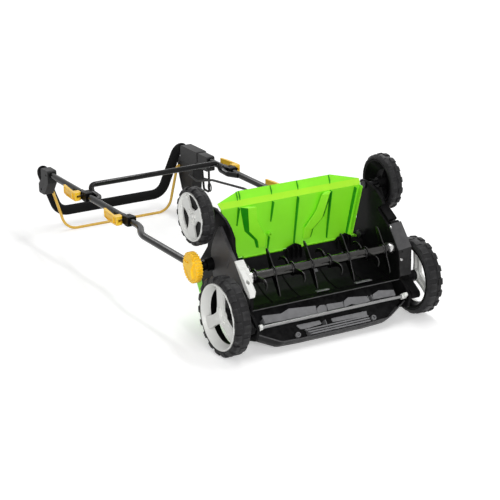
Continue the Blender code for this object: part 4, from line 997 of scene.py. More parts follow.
def side_plate(side):
    if side < 0:
        low = LEFT_LOW
        steps = [(JOIN, disc(BOLT, 0.016, 48, PLATE_OUT - 0.0005, SKIRT_OUT))]
    else:
        low = RIGHT_LOW
        shell = fillet([(-0.232, -0.024), (-0.132, -0.061), (-0.132, 0.02), (-0.232, 0.02)],
                       0.004, 4)
        room = [(-0.229, -0.021), (-0.135, -0.056), (-0.135, 0.04), (-0.229, 0.04)]
        ear = fillet([(-0.19, 0.026), (-0.13, 0.026), (-0.13, 0.082), (-0.184, 0.085)], 0.016, 5)
        steps = [(JOIN, prism(shell, PLATE_OUT - 0.0005, SKIRT_OUT)),
                 (CUT, prism(room, PLATE_OUT, SKIRT_OUT - WALL)),
                 (JOIN, prism(ear, PLATE_OUT - 0.0005, 0.2395))]
    outline = fillet(PLATE_TAIL + low + PLATE_TOP, 0.008, 4)
    plate = carved(prism(outline, PLATE_IN, PLATE_OUT), *steps)
    return sided("side_plate_", side, [plate] + plate_ribs(), "deck", edge=0.0009)


for side in SIDES:
    side_plate(side)


def left_field():
    """Broad raised field on the outside of the left plate, painted grey as a sheen of lamp light on the
    black plastic, with a low rib across it.
    """
    face = carved(prism(fillet(FIELD, 0.005, 5), PLATE_OUT - 0.0004, FIELD_OUT),
                  (CUT, disc(BOLT, 0.0165, 40, 0.2, 0.3)))
    rib = prism([(-0.124, -0.044), (-0.1215, -0.044), (-0.108, -0.01), (-0.1105, -0.01)],
                FIELD_OUT - 0.0005, FIELD_OUT + 0.0012)
    return finish("left_skirt_field", on_side(together(face, rib), -1), "land", "side_plate_left",
                  edge=0.001, slot="deck")


left_field()


def belt_cover():
    """Right hand skirt: a shallow box over the belt with a raised rim and a sunk panel."""
    outline = fillet([(-0.129, -0.064), (-0.043, -0.064), (-0.043, -0.02),
                      (-0.072, 0.13), (-0.086, 0.152), (-0.114, 0.152), (-0.129, 0.13)], 0.008, 5)
    inner = fillet([(-0.126, -0.0615), (-0.046, -0.0615), (-0.046, -0.02),
                    (-0.075, 0.129), (-0.088, 0.149), (-0.1125, 0.149), (-0.126, 0.129)], 0.006, 5)
    panel = fillet([(-0.121, -0.052), (-0.052, -0.052), (-0.052, -0.02),
                    (-0.079, 0.124), (-0.12, 0.124)], 0.006, 3)
    steps = [(CUT, prism(inner, PLATE_OUT - 0.01, 0.2382)),
             (CUT, prism(panel, SKIRT_OUT - 0.001, SKIRT_OUT + 0.005))]
    cover = carved(prism(outline, PLATE_OUT + 0.0004, SKIRT_OUT), *steps)
    return finish("belt_cover", cover, "deck", edge=0.001)


def belt_lands():
    """Two slanted lands under the belt, folded where the rotor sits lowest, painted grey as a sheen of lamp
    light on black plastic and darker past the fold as painted shade.
    """
    rings = []
    for y, inner, outer, thick in ((-0.12, -0.0622, -0.072, 0.003), (-0.05, -0.0622, -0.074, 0.003),
                                   (0.004, -0.0262, -0.029, 0.0026)):
        rings.append([(LAND_IN, y, inner), (SKIRT_OUT, y, outer), (SKIRT_OUT, y, outer + thick),
                      (LAND_IN, y, inner + thick)])
    piece = finish("belt_lands", lofted(*rings), "land", "belt_cover", edge=0.0009, slot="deck")
    piece.data.materials.append(LOOKS["land_dark"])
    # Painted shade: faces past the fold take the darker copy of the sheen grey.
    for face in piece.data.polygons:
        face.material_index = 1 if upright(face.center).y > -0.048 else 0
    return piece


belt_cover()
belt_lands()


def screw(name, node, x, y, z, size=0.0042):
    """Pan head screw pointing up into the deck, with a cross recess."""
    head = turned([(0.0, 0.0), (0.0, size * 0.55), (0.0006, size * 0.88), (0.0016, size),
                   (0.003, size), (0.003, 0.0)], 24)
    slots = [block(-0.001, 0.0009, -size * 0.6, size * 0.6, -0.0005, 0.0005),
             block(-0.001, 0.0009, -0.0005, 0.0005, -size * 0.6, size * 0.6)]
    head = carved(head, *[(CUT, cut) for cut in slots])
    turn = Matrix.Translation((x, y, z)) @ Matrix.Rotation(-pi / 2, 4, "Y")
    return finish(name, placed(head, turn), "steel", node, edge=0, slot="steel")


screw("land_screw_1", "belt_cover", 0.2135, -0.112, -0.0638)
screw("land_screw_2", "belt_cover", 0.215, -0.03, -0.0512)

# %% [markdown]
# ## Nose
# The nose is an outer shell that curves under the front, with a grey floor panel in it:
# plates either side of a small raised box, three long bars along the front rim, and two
# screw bosses. Between and around them the black inner floor shows. The shell's rounded
# lower rim catches a line of light, so it is a separate round bead along the same outline,
# with that line painted on it in grey as a highlight.

# %% Nose shell
NOSE_LOW = -0.006
NOSE_HIGH = 0.1
NOSE_END = 0.2
NOSE_RIM = [(-0.2082, 0.062), (-0.15, 0.094), (-0.09, 0.0962), (0.09, 0.0962),
            (0.15, 0.094), (0.2082, 0.062)]


def nose_shell():
    rim = fillet(NOSE_RIM, 0.03, 5, False)
    levels = [(NOSE_LOW, 0.0), (0.012, -0.0002), (0.03, 0.0015), (0.043, 0.0085), (0.056, 0.0205),
              (0.076, 0.037), (0.096, 0.053)]
    bm = bmesh.new()
    grid = []
    for z, back in levels:
        row = []
        for x, y in rim:
            keep = 1.0 - 0.35 * (z - NOSE_LOW) / NOSE_HIGH if abs(x) > NOSE_END else 1.0
            row.append(bm.verts.new((x, y - max(0.0, back) * keep, z)))
        grid.append(row)
    for lower, upper in zip(grid, grid[1:]):
        for k in range(len(rim) - 1):
            bm.faces.new((lower[k], lower[k + 1], upper[k + 1], upper[k]))
    bmesh.ops.recalc_face_normals(bm, faces=bm.faces)
    if sum(f.normal.y for f in bm.faces) < 0:
        bmesh.ops.reverse_faces(bm, faces=bm.faces)
    bmesh.ops.solidify(bm, geom=bm.faces[:], thickness=WALL)
    return finish("nose_shell", bm, "deck", edge=0.0008)


def nose_bead():
    rim = [(x, y - 0.0016, NOSE_LOW + 0.0002) for x, y in fillet(NOSE_RIM, 0.03, 8, False)]
    # The bead's grey is a painted highlight on the black rim.
    return finish("nose_rim_bead", tube(rim, 0.0016, 16), "land", "nose_shell", edge=0)


def nose_liner():
    """Black inner floor of the nose, seen between the plates of the panel."""
    half = [(0.2045, -0.005), (0.2045, 0.057), (0.15, 0.0885), (0.09, 0.0905)]
    return finish("nose_liner", plan(half + [(-x, y) for x, y in half[::-1]], 0.012, 0.0132), "deck",
                  "nose_shell", edge=0, slot="nose")


nose_shell()
nose_bead()
nose_liner()

# %% [markdown]
# On the real machine the floor panel is one moulding. It could be one plate with grooves cut
# into it, but here each plate, bar and boss is its own low solid at a shared height, which
# keeps every outline easy to change and leaves the dark gaps between them open.

# %% Nose floor panel
PANEL_PLATES = [
    [(-0.179, 0.021), (-0.129, 0.0258), (-0.105, 0.018), (-0.033, 0.0252), (-0.036, 0.046),
     (-0.1005, 0.0436), (-0.129, 0.0436), (-0.1775, 0.042)],
    [(-0.0034, 0.0275), (0.0392, 0.03), (0.0395, 0.043), (-0.0052, 0.044)],
    [(0.0447, 0.029), (0.0595, 0.0222), (0.1086, 0.029), (0.1145, 0.043), (0.0787, 0.0464),
     (0.0625, 0.0401), (0.04, 0.0454)],
    [(0.1276, 0.0286), (0.1467, 0.0217), (0.1885, 0.0285), (0.188, 0.043), (0.124, 0.0414)],
    [(-0.1015, 0.0615), (-0.0369, 0.0625), (-0.0346, 0.0722), (-0.0804, 0.0751), (-0.0931, 0.0732)],
    [(-0.0056, 0.064), (0.0946, 0.065), (0.0918, 0.077), (-0.0036, 0.0735)]]
PANEL_BOX = [(-0.0331, 0.0325), (-0.0229, 0.027), (-0.01, 0.028), (-0.0082, 0.037), (-0.012, 0.051),
             (-0.038, 0.05)]
PANEL_BARS = ((-0.085, 0.0945, 0.0765), (-0.079, 0.095, 0.0826), (-0.073, 0.0955, 0.0882))
PANEL_LOW = NOSE_LOW - 0.0038
PANEL_HIGH = NOSE_LOW - 0.0003


def screw_boss(x, y, z):
    """Open round boss with a small cross of ribs inside."""
    ring = turned([(0.0, 0.0034), (0.0, 0.0062), (0.0075, 0.0066), (0.0075, 0.0034)], 28)
    ribs = [block(0.001, 0.007, -0.0045, 0.0045, -0.0005, 0.0005),
            block(0.001, 0.007, -0.0005, 0.0005, -0.0045, 0.0045)]
    turn = Matrix.Translation((x, y, z)) @ Matrix.Rotation(-pi / 2, 4, "Y") @ Matrix.Rotation(pi / 4, 4, "X")
    return [placed(part, turn) for part in [ring] + ribs]


def nose_panel():
    """Grey plates either side of a raised box, and long bars along the front rim."""
    solids = [plan(fillet(plate, 0.0012, 2), PANEL_LOW, PANEL_HIGH) for plate in PANEL_PLATES]
    solids.append(plan(fillet(PANEL_BOX, 0.004, 4), PANEL_LOW - 0.0022, PANEL_HIGH + 0.01))
    for x0, x1, y in PANEL_BARS:
        solids.append(plan(fillet([(x0, y), (x1, y), (x1, y + 0.0035), (x0 + 0.006, y + 0.0035)], 0.001, 2),
                           PANEL_LOW - 0.0008, PANEL_HIGH))
    for x in (-0.1045, 0.1074):
        solids += screw_boss(x, 0.085, PANEL_LOW - 0.0016)
    for x in (-0.178, -0.127, -0.035, -0.0044, 0.042, 0.114, 0.125, 0.187):
        solids.append(block(x - 0.0009, x + 0.0009, 0.028, 0.0425, PANEL_HIGH - 0.001, PANEL_HIGH + 0.018))
    for x in (-0.07, -0.02, 0.03, 0.085):
        solids.append(block(x - 0.001, x + 0.001, 0.063, 0.0915, PANEL_HIGH - 0.001, PANEL_HIGH + 0.018))
    return finish("nose_panel", solids, "nose", "front_grille", edge=0.0006)


nose_panel()

# %% [markdown]
# ## Top cover and drive
# The tall green cover hides the motor, which turns the rotor through a belt at the right
# side. From the front only a sliver of it shows, but the piece is whole: vents on the
# sides, a moulded panel line across the top and a raised crown.

# %% Top cover
MOTOR = upright(middle("motor_shaft"))
COVER_OUTER = [(-0.157, 0.08), (-0.1725, 0.1), (-0.17, 0.198), (-0.12, 0.206),
               (-0.06, 0.182), (0.01, 0.1285), (0.0405, 0.1), (0.015, 0.096)]
COVER_INNER = [(-0.151, 0.07), (-0.169, 0.101), (-0.1662, 0.194), (-0.121, 0.2025),
               (-0.062, 0.1785), (0.008, 0.126), (0.03, 0.104), (0.015, 0.075)]


def top_cover():
    steps = [(CUT, prism(fillet(COVER_INNER, 0.01, 5), -0.1995, 0.1995))]
    for side in SIDES:
        for k in range(6):
            y = -0.145 + k * 0.017
            slot = fillet(corners(y, y + 0.007, 0.15, 0.178), 0.003, 4)
            steps.append((CUT, prism(slot, side * 0.203 - 0.008, side * 0.203 + 0.008)))
    steps.append((CUT, disc(MOTOR, 0.0088, 24, 0.19, 0.21)))
    for x in (-0.12, 0.12):
        groove = fillet([(-0.18, 0.212), (-0.12, 0.207), (-0.061, 0.183), (0.009, 0.1295),
                         (0.04, 0.102), (0.044, 0.106), (0.013, 0.135), (-0.057, 0.19),
                         (-0.118, 0.22), (-0.18, 0.22)], 0.004, 2)
        cut = prism([(p[0] - 0.001, p[1] - 0.0016) for p in groove], x - 0.0012, x + 0.0012)
        steps.append((CUT, cut))
    cover = carved(prism(fillet(COVER_OUTER, 0.014, 7), -0.203, 0.203), *steps)
    return finish("top_cover", cover, "green", "motor_cover", edge=0.0016)


def cover_grille(side):
    """Black louvres behind the side vents."""
    bars = [block(0.1945, 0.1992, -0.148 + k * 0.0085, -0.1455 + k * 0.0085, 0.148, 0.18)
            for k in range(13)]
    frame_bar = [block(0.1945, 0.1992, -0.15, -0.04, 0.1465, 0.149),
                 block(0.1945, 0.1992, -0.15, -0.04, 0.179, 0.1815)]
    name = "vent_louvres_" + side_name(side)
    return finish(name, on_side(together(*bars, *frame_bar), side), "deck", "motor_cover",
                  edge=0.0004, slot="deck")


top_cover()
for side in SIDES:
    cover_grille(side)

# %% [markdown]
# The motor sits under the cover with its shaft through the right plate. Shaft, pulleys and
# belt are mostly hidden, but they turn together, so each is a real piece of its own.

# %% Motor, shaft, pulley and belt
BELT_X = 0.227
BELT_HALF = 0.0073
ROTOR_PULLEY_R = 0.0157
MOTOR_PULLEY_R = 0.0092


def motor_body():
    y, z, r = MOTOR.y, MOTOR.z, 0.042
    profile = [(0.03, 0.0), (0.03, 0.02), (0.034, 0.028), (0.036, 0.031), (0.04, r)]
    for k in range(4):
        x = 0.056 + k * 0.024
        profile += [(x, r), (x + 0.002, r - 0.004), (x + 0.007, r - 0.004), (x + 0.009, r)]
    profile += [(0.16, r), (0.164, 0.031), (0.17, 0.022), (0.17, 0.0085), (0.1, 0.0085),
                (0.1, 0.0)]
    foot = [(y - 0.026, 0.0748), (y + 0.022, 0.0648), (y + 0.022, z - r + 0.014),
            (y - 0.026, z - r + 0.014)]
    solids = [turned(profile, 60, MOTOR)]
    solids += [prism(fillet(foot, 0.002, 2), x, x + 0.012) for x in (0.0405, 0.1385)]
    for k in range(8):
        t = 2 * pi * k / 8
        fin = around(corners(r - 0.002, r + 0.0005, -0.001, 0.001), MOTOR, t)
        solids.append(prism(fin, 0.044, 0.156))
    return finish("motor_body", solids, "motor", "motor_housing", edge=0.0008)


def motor_shaft():
    y, z = MOTOR.y, MOTOR.z
    profile = [(0.1005, 0.0), (0.1005, 0.008), (0.199, 0.008), (0.199, 0.0075), (0.2175, 0.0075),
               (0.2175, 0.0116), (0.218, 0.012), (0.219, 0.012), (0.2192, MOTOR_PULLEY_R),
               (0.235, MOTOR_PULLEY_R), (0.2352, 0.012), (0.2362, 0.012), (0.2366, 0.0116),
               (0.2366, 0.0)]
    flat = block(0.2355, 0.237, y - 0.0006, y + 0.0006, z - 0.007, z + 0.007)
    shaft = carved(turned(profile, 40, MOTOR), (CUT, flat))
    return finish("motor_shaft_and_pulley", shaft, "steel", "motor_shaft", edge=0.0002)


def rotor_pulley():
    profile = [(0.2176, 0.0083), (0.2176, 0.0181), (0.2182, 0.0185), (0.219, 0.0185),
               (0.2194, ROTOR_PULLEY_R), (0.2348, ROTOR_PULLEY_R), (0.2352, 0.0185), (0.236, 0.0185),
               (0.2366, 0.0181), (0.2366, 0.0083)]
    holes = []
    for k in range(5):
        t = 2 * pi * k / 5
        holes.append((CUT, disc(ROTOR + at(cos(t), sin(t)) * 0.012, 0.0018, 14, 0.21, 0.25)))
    wheel = carved(turned(profile, 48, ROTOR), *holes)
    return finish("rotor_pulley", wheel, "rotor", edge=0.0002)

# %% Drive belt
def belt_line(grow):
    """Outline of a belt round both pulleys, grown by a thickness."""
    a = Vector((ROTOR.y, ROTOR.z))
    b = Vector((MOTOR.y, MOTOR.z))
    ra, rb = ROTOR_PULLEY_R + grow, MOTOR_PULLEY_R + grow
    along = b - a
    base = atan2(along.y, along.x)
    spread = pi / 2 - (ra - rb) / along.length
    out = [(a.x + ra * cos(base + spread + (2 * pi - 2 * spread) * k / 30),
            a.y + ra * sin(base + spread + (2 * pi - 2 * spread) * k / 30)) for k in range(31)]
    out += [(b.x + rb * cos(base - spread + 2 * spread * k / 20),
             b.y + rb * sin(base - spread + 2 * spread * k / 20)) for k in range(21)]
    return out


def drive_belt():
    loop = carved(prism(belt_line(0.0023), BELT_X - BELT_HALF, BELT_X + BELT_HALF),
                  (CUT, prism(belt_line(0.0001), 0.21, 0.245)))
    grooves = []
    for k in range(4):
        x = 0.222 + k * 0.0031
        grooves.append((CUT, carved(prism(belt_line(0.003), x, x + 0.001),
                                    (CUT, prism(belt_line(0.0017), 0.21, 0.245)))))
    return finish("ribbed_belt", carved(loop, *grooves), "belt", "drive_belt", edge=0.0002)


motor_body()
motor_shaft()
rotor_pulley()
drive_belt()
print("drive made at x", BELT_X)

# %% [markdown]
# ## Rotor
# A dark steel tube carries eight thin blades. Two forms take turns along it: straight
# pointed arms, and curved ones with hooked ends. Left end: a bright collar beside a pale
# bearing carrier. Right end: a stack of collars in front of the wall.

# %% Rotor tube and bearings
TUBE_R = 0.0118
BLADE_HALF = 0.0013
WELD_HALF = 0.0042


def rotor_tube():
    profile = [(-0.207, 0.0), (-0.207, 0.0076), (-0.2066, 0.008), (-0.1905, 0.008),
               (-0.1898, TUBE_R - 0.0006), (-0.189, TUBE_R), (0.1885, TUBE_R), (0.1893, TUBE_R - 0.0006),
               (0.19, 0.008), (0.2366, 0.008), (0.237, 0.0076), (0.237, 0.0)]
    return finish("rotor_tube", turned(profile, 48, ROTOR), "rotor", edge=0)


def rotor_stub():
    """Bright turned end of the rotor beside the left bearing."""
    collar = [(-0.195, 0.0081), (-0.195, 0.0112), (-0.1944, 0.0117), (-0.18, 0.0117),
              (-0.1795, 0.0112), (-0.1795, 0.0081)]
    return finish("rotor_left_collar", turned(collar, 48, ROTOR), "steel", "rotor_tube",
                  edge=0, slot="steel")


def bearing(side):
    x0, x1 = (-0.207, -0.196) if side < 0 else (0.1945, 0.207)
    profile = [(x0, 0.0083), (x0, 0.0098), (x0 + 0.0012, 0.0102), (x0 + 0.0012, 0.0112),
               (x0, 0.0116), (x0 + 0.0002, 0.0127), (x0 + 0.001, 0.013), (x1 - 0.001, 0.013),
               (x1 - 0.0002, 0.0127), (x1, 0.0116), (x1 - 0.0012, 0.0112), (x1 - 0.0012, 0.0102),
               (x1, 0.0098), (x1, 0.0083)]
    return finish("bearing_" + side_name(side), turned(profile, 48, ROTOR), "steel", edge=0)


def right_collars():
    """Washers and a lock ring beside the right bearing."""
    solids = []
    for x0, x1, r in ((0.1902, 0.1912, 0.0125), (0.1914, 0.1928, 0.015), (0.193, 0.1942, 0.012)):
        solids.append(turned([(x0, 0.0082), (x0, r - 0.0003), (x0 + 0.0003, r), (x1 - 0.0003, r),
                              (x1, r - 0.0003), (x1, 0.0082)], 40, ROTOR))
    return finish("rotor_right_collars", solids, "rod", "rotor_tube", edge=0, slot="steel")


rotor_tube()
rotor_stub()
right_collars()
for side in SIDES:
    bearing(side)

# %% [markdown]
# The blades are flat steel plates round the tube, and every second one has hooked arms. An
# outline with a hole for the tube, pushed to the plate's thickness, is all that is needed,
# with a small turned bead as the weld. The two kinds point different ways, so that the
# rotor doesn't strike the ground with all of them at once.

# %% Blades
HOOK_TURN = radians(6) - TILT
POINT_TURN = radians(60) - TILT
HOOK_LEFT = [(0.015, 0.006), (0.021, 0.011), (0.031, 0.015), (0.043, 0.015), (0.053, 0.011),
             (0.06, 0.005), (0.0605, -0.003), (0.057, 0.0), (0.05, 0.005),
             (0.041, 0.008), (0.032, 0.0068), (0.025, 0.001), (0.019, -0.006)]
HOOK_RIGHT = [(-0.017, -0.009), (-0.025, -0.006), (-0.036, -0.001), (-0.047, 0.0015),
              (-0.054, -0.002), (-0.059, -0.011), (-0.0565, -0.014), (-0.0603, -0.006),
              (-0.0608, 0.001), (-0.056, 0.0075), (-0.047, 0.0105), (-0.035, 0.0095),
              (-0.024, 0.008), (-0.016, 0.008)]
POINT_ARM = [(0.014, 0.01), (0.026, 0.0088), (0.046, 0.0078), (0.056, 0.0052), (0.0605, 0.0),
             (0.0575, -0.003), (0.045, -0.0062), (0.026, -0.0084), (0.014, -0.01)]


def blade_outline(hooked):
    if hooked:
        outline = arc(0.0178, -150, -28, 5) + HOOK_LEFT[::-1]
        return outline + arc(0.0178, 35, 145, 5) + HOOK_RIGHT[::-1]
    other = [(-x, -y) for x, y in POINT_ARM]
    return arc(0.0165, 40, 140, 5) + other[::-1] + arc(0.0165, 220, 320, 5) + POINT_ARM[::-1]


def blade(number, x, hooked):
    turn = HOOK_TURN if hooked else POINT_TURN
    plate = prism(around(fillet(blade_outline(hooked), 0.0015, 2), ROTOR, turn),
                  x - BLADE_HALF, x + BLADE_HALF)
    plate = carved(plate, (CUT, disc(ROTOR, TUBE_R + 0.0002, 36, x - 0.01, x + 0.01)))
    weld = turned([(x - WELD_HALF, TUBE_R), (x - WELD_HALF, 0.0128), (x - 0.0012, 0.0136),
                   (x + 0.0012, 0.0136), (x + WELD_HALF, 0.0128), (x + WELD_HALF, TUBE_R)],
                  36, ROTOR)
    return finish("blade_%d" % number, [plate, weld], "blade", edge=0.0005)


for number in range(1, 9):
    blade(number, middle("blade_%d" % number).x, number % 2 == 1)

# %% [markdown]
# The left end of the rotor runs in a pale moulded carrier. Its outline differs from the side
# and from above, so one box with holes wouldn't do: a side outline is pushed across, and
# only what also lies inside the top outline is kept.

# %% Left bearing carrier
def bearing_carrier():
    """Pale carrier: a wide bar with a diamond hole, a ribbed end and a seat for the bearing."""
    side_view = [(-0.1075, -0.0545), (-0.1075, -0.0572), (-0.075, -0.063), (-0.0475, -0.0672),
                 (-0.018, -0.0698), (-0.0095, -0.067), (-0.0095, -0.061), (-0.02, -0.058),
                 (-0.035, -0.0545)]
    top_view = [(-0.2235, -0.108), (-0.2, -0.108), (-0.2, -0.078), (-0.205, -0.072),
                (-0.205, -0.0225), (-0.211, -0.009), (-0.2235, -0.009)]
    seat = fillet([(-0.086, -0.058), (-0.086, -0.04), (-0.08, -0.03), (-0.054, -0.03),
                   (-0.048, -0.04), (-0.048, -0.058)], 0.004, 5)
    diamond = fillet([(-0.215, -0.055), (-0.21, -0.0475), (-0.215, -0.04), (-0.22, -0.0475)],
                     0.0008, 2)
    bar = carved(prism(side_view, -0.224, -0.199),
                 (KEEP, plan(fillet(top_view, 0.002, 3), -0.08, -0.05)),
                 (JOIN, prism(seat, -0.2075, -0.196)),
                 (CUT, disc(ROTOR, 0.0133, 40, -0.2082, -0.19)),
                 (CUT, plan(diamond, -0.09, -0.05)))
    ribs = []
    for k in range(4):
        y = -0.106 + k * 0.0068
        low = -0.0582 - (y + 0.1075) * 0.178
        ribs.append(block(-0.2228, -0.201, y, y + 0.0022, low - 0.0012, low + 0.002))
    ridge = [(-0.085, -0.06), (-0.0475, -0.066), (-0.02, -0.0686), (-0.02, -0.071),
             (-0.0475, -0.0686), (-0.075, -0.0645), (-0.085, -0.0628)]
    ridges = [prism(ridge, x, x + 0.0016) for x in (-0.2228, -0.2076)]
    return finish("bearing_carrier", [bar] + ribs + ridges, "white", "bearing_bracket", edge=0.0006)


bearing_carrier()

# %% [markdown]
# ## Height setting
# A steel rod crosses the nose. An arm on each end carries the stub axle of a front wheel,
# so turning the rod lifts or drops the deck. Two pale cranks guide it inside the walls.

# %% Rod, cranks and arms
ROD = upright(middle("depth_rod"))
ROD_R = 0.0041


def depth_rod():
    bar = turned([(-0.243, 0.0), (-0.243, ROD_R - 0.0006), (-0.2424, ROD_R), (0.2424, ROD_R),
                  (0.243, ROD_R - 0.0006), (0.243, 0.0)], 32, ROD)
    return finish("height_rod", bar, "rod", "depth_rod", edge=0)


def crank(side):
    outline = [(-0.0045, 0.0125), (-0.0066, 0.0), (-0.0042, -0.0135), (0.0042, -0.0135), (0.0066, 0.0),
               (0.0045, 0.0125)]
    outline = fillet(shifted(outline, ROD), 0.003, 4)
    bore = disc(ROD, ROD_R + 0.0002, 24, 0.1, 0.3)
    body = carved(prism(outline, 0.1985, 0.2065), (CUT, bore))
    sleeve = turned([(0.1945, ROD_R + 0.0002), (0.1945, 0.0058), (0.199, 0.0062), (0.199, ROD_R + 0.0002)],
                    28, ROD)
    ribs = [block(0.1972, 0.199, ROD.y - 0.005, ROD.y + 0.005, ROD.z + s * 0.0095 - 0.0008,
                  ROD.z + s * 0.0095 + 0.0008) for s in (-1, 1)]
    return sided("depth_crank_", side, [body, sleeve] + ribs, "white", edge=0.0007)


def axle_arm(side):
    along = Vector((-ROD.y, -ROD.z)).normalized()
    cross = Vector((-along.y, along.x))
    rod = Vector((ROD.y, ROD.z))
    length = hypot(ROD.y, ROD.z)
    outline = []
    for centre, start, radius in ((rod, pi / 2, 0.011), (rod + along * length, -pi / 2, 0.0125)):
        for k in range(15):
            t = start + pi * k / 14
            outline.append(centre + (along * cos(t) + cross * sin(t)) * radius)
    arm = prism(outline, 0.219, 0.2435)
    recess = []
    for start, end in ((0.016, 0.026), (0.03, 0.042)):
        pocket = [rod + along * start + cross * 0.007, rod + along * start - cross * 0.007,
                  rod + along * end - cross * 0.0075, rod + along * end + cross * 0.0075]
        recess.append((CUT, prism(fillet(pocket, 0.002, 3), 0.215, 0.225)))
        recess.append((CUT, prism(fillet(pocket, 0.002, 3), 0.2385, 0.25)))
    recess.append((CUT, disc(ROD, ROD_R + 0.0002, 24, 0.1, 0.3)))
    solids = [carved(arm, *recess)]
    if side < 0:
        lever = fillet([(ROD.y - 0.006, ROD.z + 0.006), (ROD.y + 0.009, ROD.z + 0.004), (0.06, 0.02),
                        (0.04, 0.068), (0.029, 0.066), (0.046, 0.016)], 0.004, 5)
        solids.append(prism(lever, 0.219, 0.227))
    return sided("depth_arm_", side, solids, "deck", edge=0.0009)


def axle_stub(side):
    """Bright stub axle with a lock washer, inside the front hub."""
    stub = turned([(0.24, 0.0), (0.24, 0.006), (0.2796, 0.006), (0.28, 0.005), (0.2812, 0.005),
                   (0.2812, 0.006), (0.2834, 0.006), (0.284, 0.0054), (0.284, 0.0)], 32)
    return sided("front_axle_", side, [stub], "steel", "depth_arm_", edge=0, slot="steel")


def rear_stub(side):
    stub = turned([(0.2045, 0.0), (0.2045, 0.0084), (0.205, 0.009), (0.208, 0.009), (0.208, 0.006),
                   (0.272, 0.006), (0.2724, 0.005), (0.2734, 0.005), (0.2734, 0.006),
                   (0.2752, 0.006), (0.2758, 0.0054), (0.2758, 0.0)], 32, REAR_AXLE)
    return sided("rear_stub_", side, [stub], "dark_bolt", edge=0)


depth_rod()
for side in SIDES:
    crank(side)
    axle_arm(side)
    axle_stub(side)
    rear_stub(side)

# %% [markdown]
# ## Rear flap
# The flap is the one bright piece seen from below: a plate that widens away from its
# hinge, a band along the hinge that faces more upwards, then a lip and a slanted flange.
# Ribs stand on it, and two raised chutes lead loosened moss outwards. Points on it are
# given as a distance across, a distance from the hinge and a height off the plate.

# %% Flap plate
HINGE = at(-0.1555, 0.0665)
FOLD = at(-0.2475, -0.03)
FLAP_DOWN = (FOLD - HINGE).normalized()
FLAP_OUT = Vector((0.0, -FLAP_DOWN.z, FLAP_DOWN.y))
FLAP_LONG = (FOLD - HINGE).length
BAND = 0.017
BAND_DIP = 0.0035
FLAP_SKIN = 0.0024


def on_flap(x, along, high):
    """A place on the flap: dip is the hollow that the hinge band leads into."""
    dip = BAND_DIP * min(1.0, along / BAND) * min(1.0, (FLAP_LONG - along) / 0.05 + 0.1)
    return HINGE + FLAP_DOWN * along + FLAP_OUT * (high - dip) + Vector((x, 0.0, 0.0))


def sheet_from_rows(rows, thick, aim):
    """A skin through rows of points, given a thickness away from the aim direction."""
    bm = bmesh.new()
    grid = [[bm.verts.new(p) for p in row] for row in rows]
    for lower, upper in zip(grid, grid[1:]):
        for k in range(len(lower) - 1):
            bm.faces.new((lower[k], lower[k + 1], upper[k + 1], upper[k]))
    bmesh.ops.recalc_face_normals(bm, faces=bm.faces)
    if sum(f.normal.dot(aim) * f.calc_area() for f in bm.faces) < 0:
        bmesh.ops.reverse_faces(bm, faces=bm.faces)
    bmesh.ops.solidify(bm, geom=bm.faces[:], thickness=thick)
    return bm


def spread(left, right, count=9):
    return [left + (right - left) * k / (count - 1) for k in range(count)]


FLAP_HALVES = ((0.18, 0.0), (0.1822, BAND), (0.188, 0.062), (0.1935, 0.105))
FLAP_EDGES = ((-0.1965, 0.1965, FOLD.y, FOLD.z), (-0.2, 0.198, -0.264, -0.0305),
              (-0.14, 0.118, -0.2845, -0.0372))


def flap_plate():
    rows = [[on_flap(x, along, 0.0) for x in spread(-half, half)] for half, along in FLAP_HALVES]
    rows += [[Vector((x, y, z)) for x in spread(left, right)] for left, right, y, z in FLAP_EDGES]
    return sheet_from_rows(rows, FLAP_SKIN, FLAP_OUT)


def flap_rib(x0, x1, start, end, rise_start, rise_end, thick=0.0018):
    half = Vector((thick / 2, 0.0, 0.0))
    low = [on_flap(x0, start, -0.001), on_flap(x1, end, -0.001)]
    high = [on_flap(x0, start, rise_start), on_flap(x1, end, rise_end)]
    return lofted([low[0] - half, low[0] + half, low[1] + half, low[1] - half],
                  [high[0] - half, high[0] + half, high[1] + half, high[1] - half])


def gusset(x):
    """Small rib between the lip and the slanted flange."""
    outline = [(-0.262, -0.03), (-0.27, -0.0375), (-0.2835, -0.039), (-0.284, -0.0365),
               (-0.264, -0.0298)]
    return prism(outline, x - 0.0008, x + 0.0008)


def flap_barrel():
    sleeves = []
    for x0, x1 in ((-0.128, -0.018), (0.034, 0.138)):
        sleeves.append(turned([(x0, 0.0), (x0, 0.0036), (x0 + 0.0006, 0.0042), (x1 - 0.0006, 0.0042),
                               (x1, 0.0036), (x1, 0.0)], 28, at(-0.1556, 0.071)))
    return sleeves


def flap_boss():
    seat = on_flap(-0.06, 0.047, 0.0)
    ring = turned([(0.0, 0.0026), (0.0, 0.0056), (0.0105, 0.005), (0.0105, 0.0026), (0.004, 0.0024)],
                  28)
    turn = Vector((1.0, 0.0, 0.0)).rotation_difference(FLAP_OUT).to_matrix().to_4x4()
    return placed(ring, Matrix.Translation(seat - FLAP_OUT * 0.001) @ turn)


def flap():
    solids = [flap_plate(), flap_boss()] + flap_barrel()
    solids.append(flap_rib(0.1785, 0.1945, 0.004, FLAP_LONG - 0.001, 0.007, 0.012, 0.0022))
    solids.append(flap_rib(-0.1785, -0.1945, 0.004, FLAP_LONG - 0.001, 0.002, 0.003, 0.0022))
    piece = finish("rear_flap", solids, "green", edge=0.0007)
    # Painted light: the lip faces get a brighter copy of the green, as they face the lamps.
    piece.data.materials.append(LOOKS["lit_lip_green"])
    for face in piece.data.polygons:
        y = upright(face.center).y
        on_lip = -0.264 < y < -0.2476 and abs(face.center.x) < 0.1995
        face.material_index = 1 if on_lip and face.area > 0.00005 else 0
    return piece

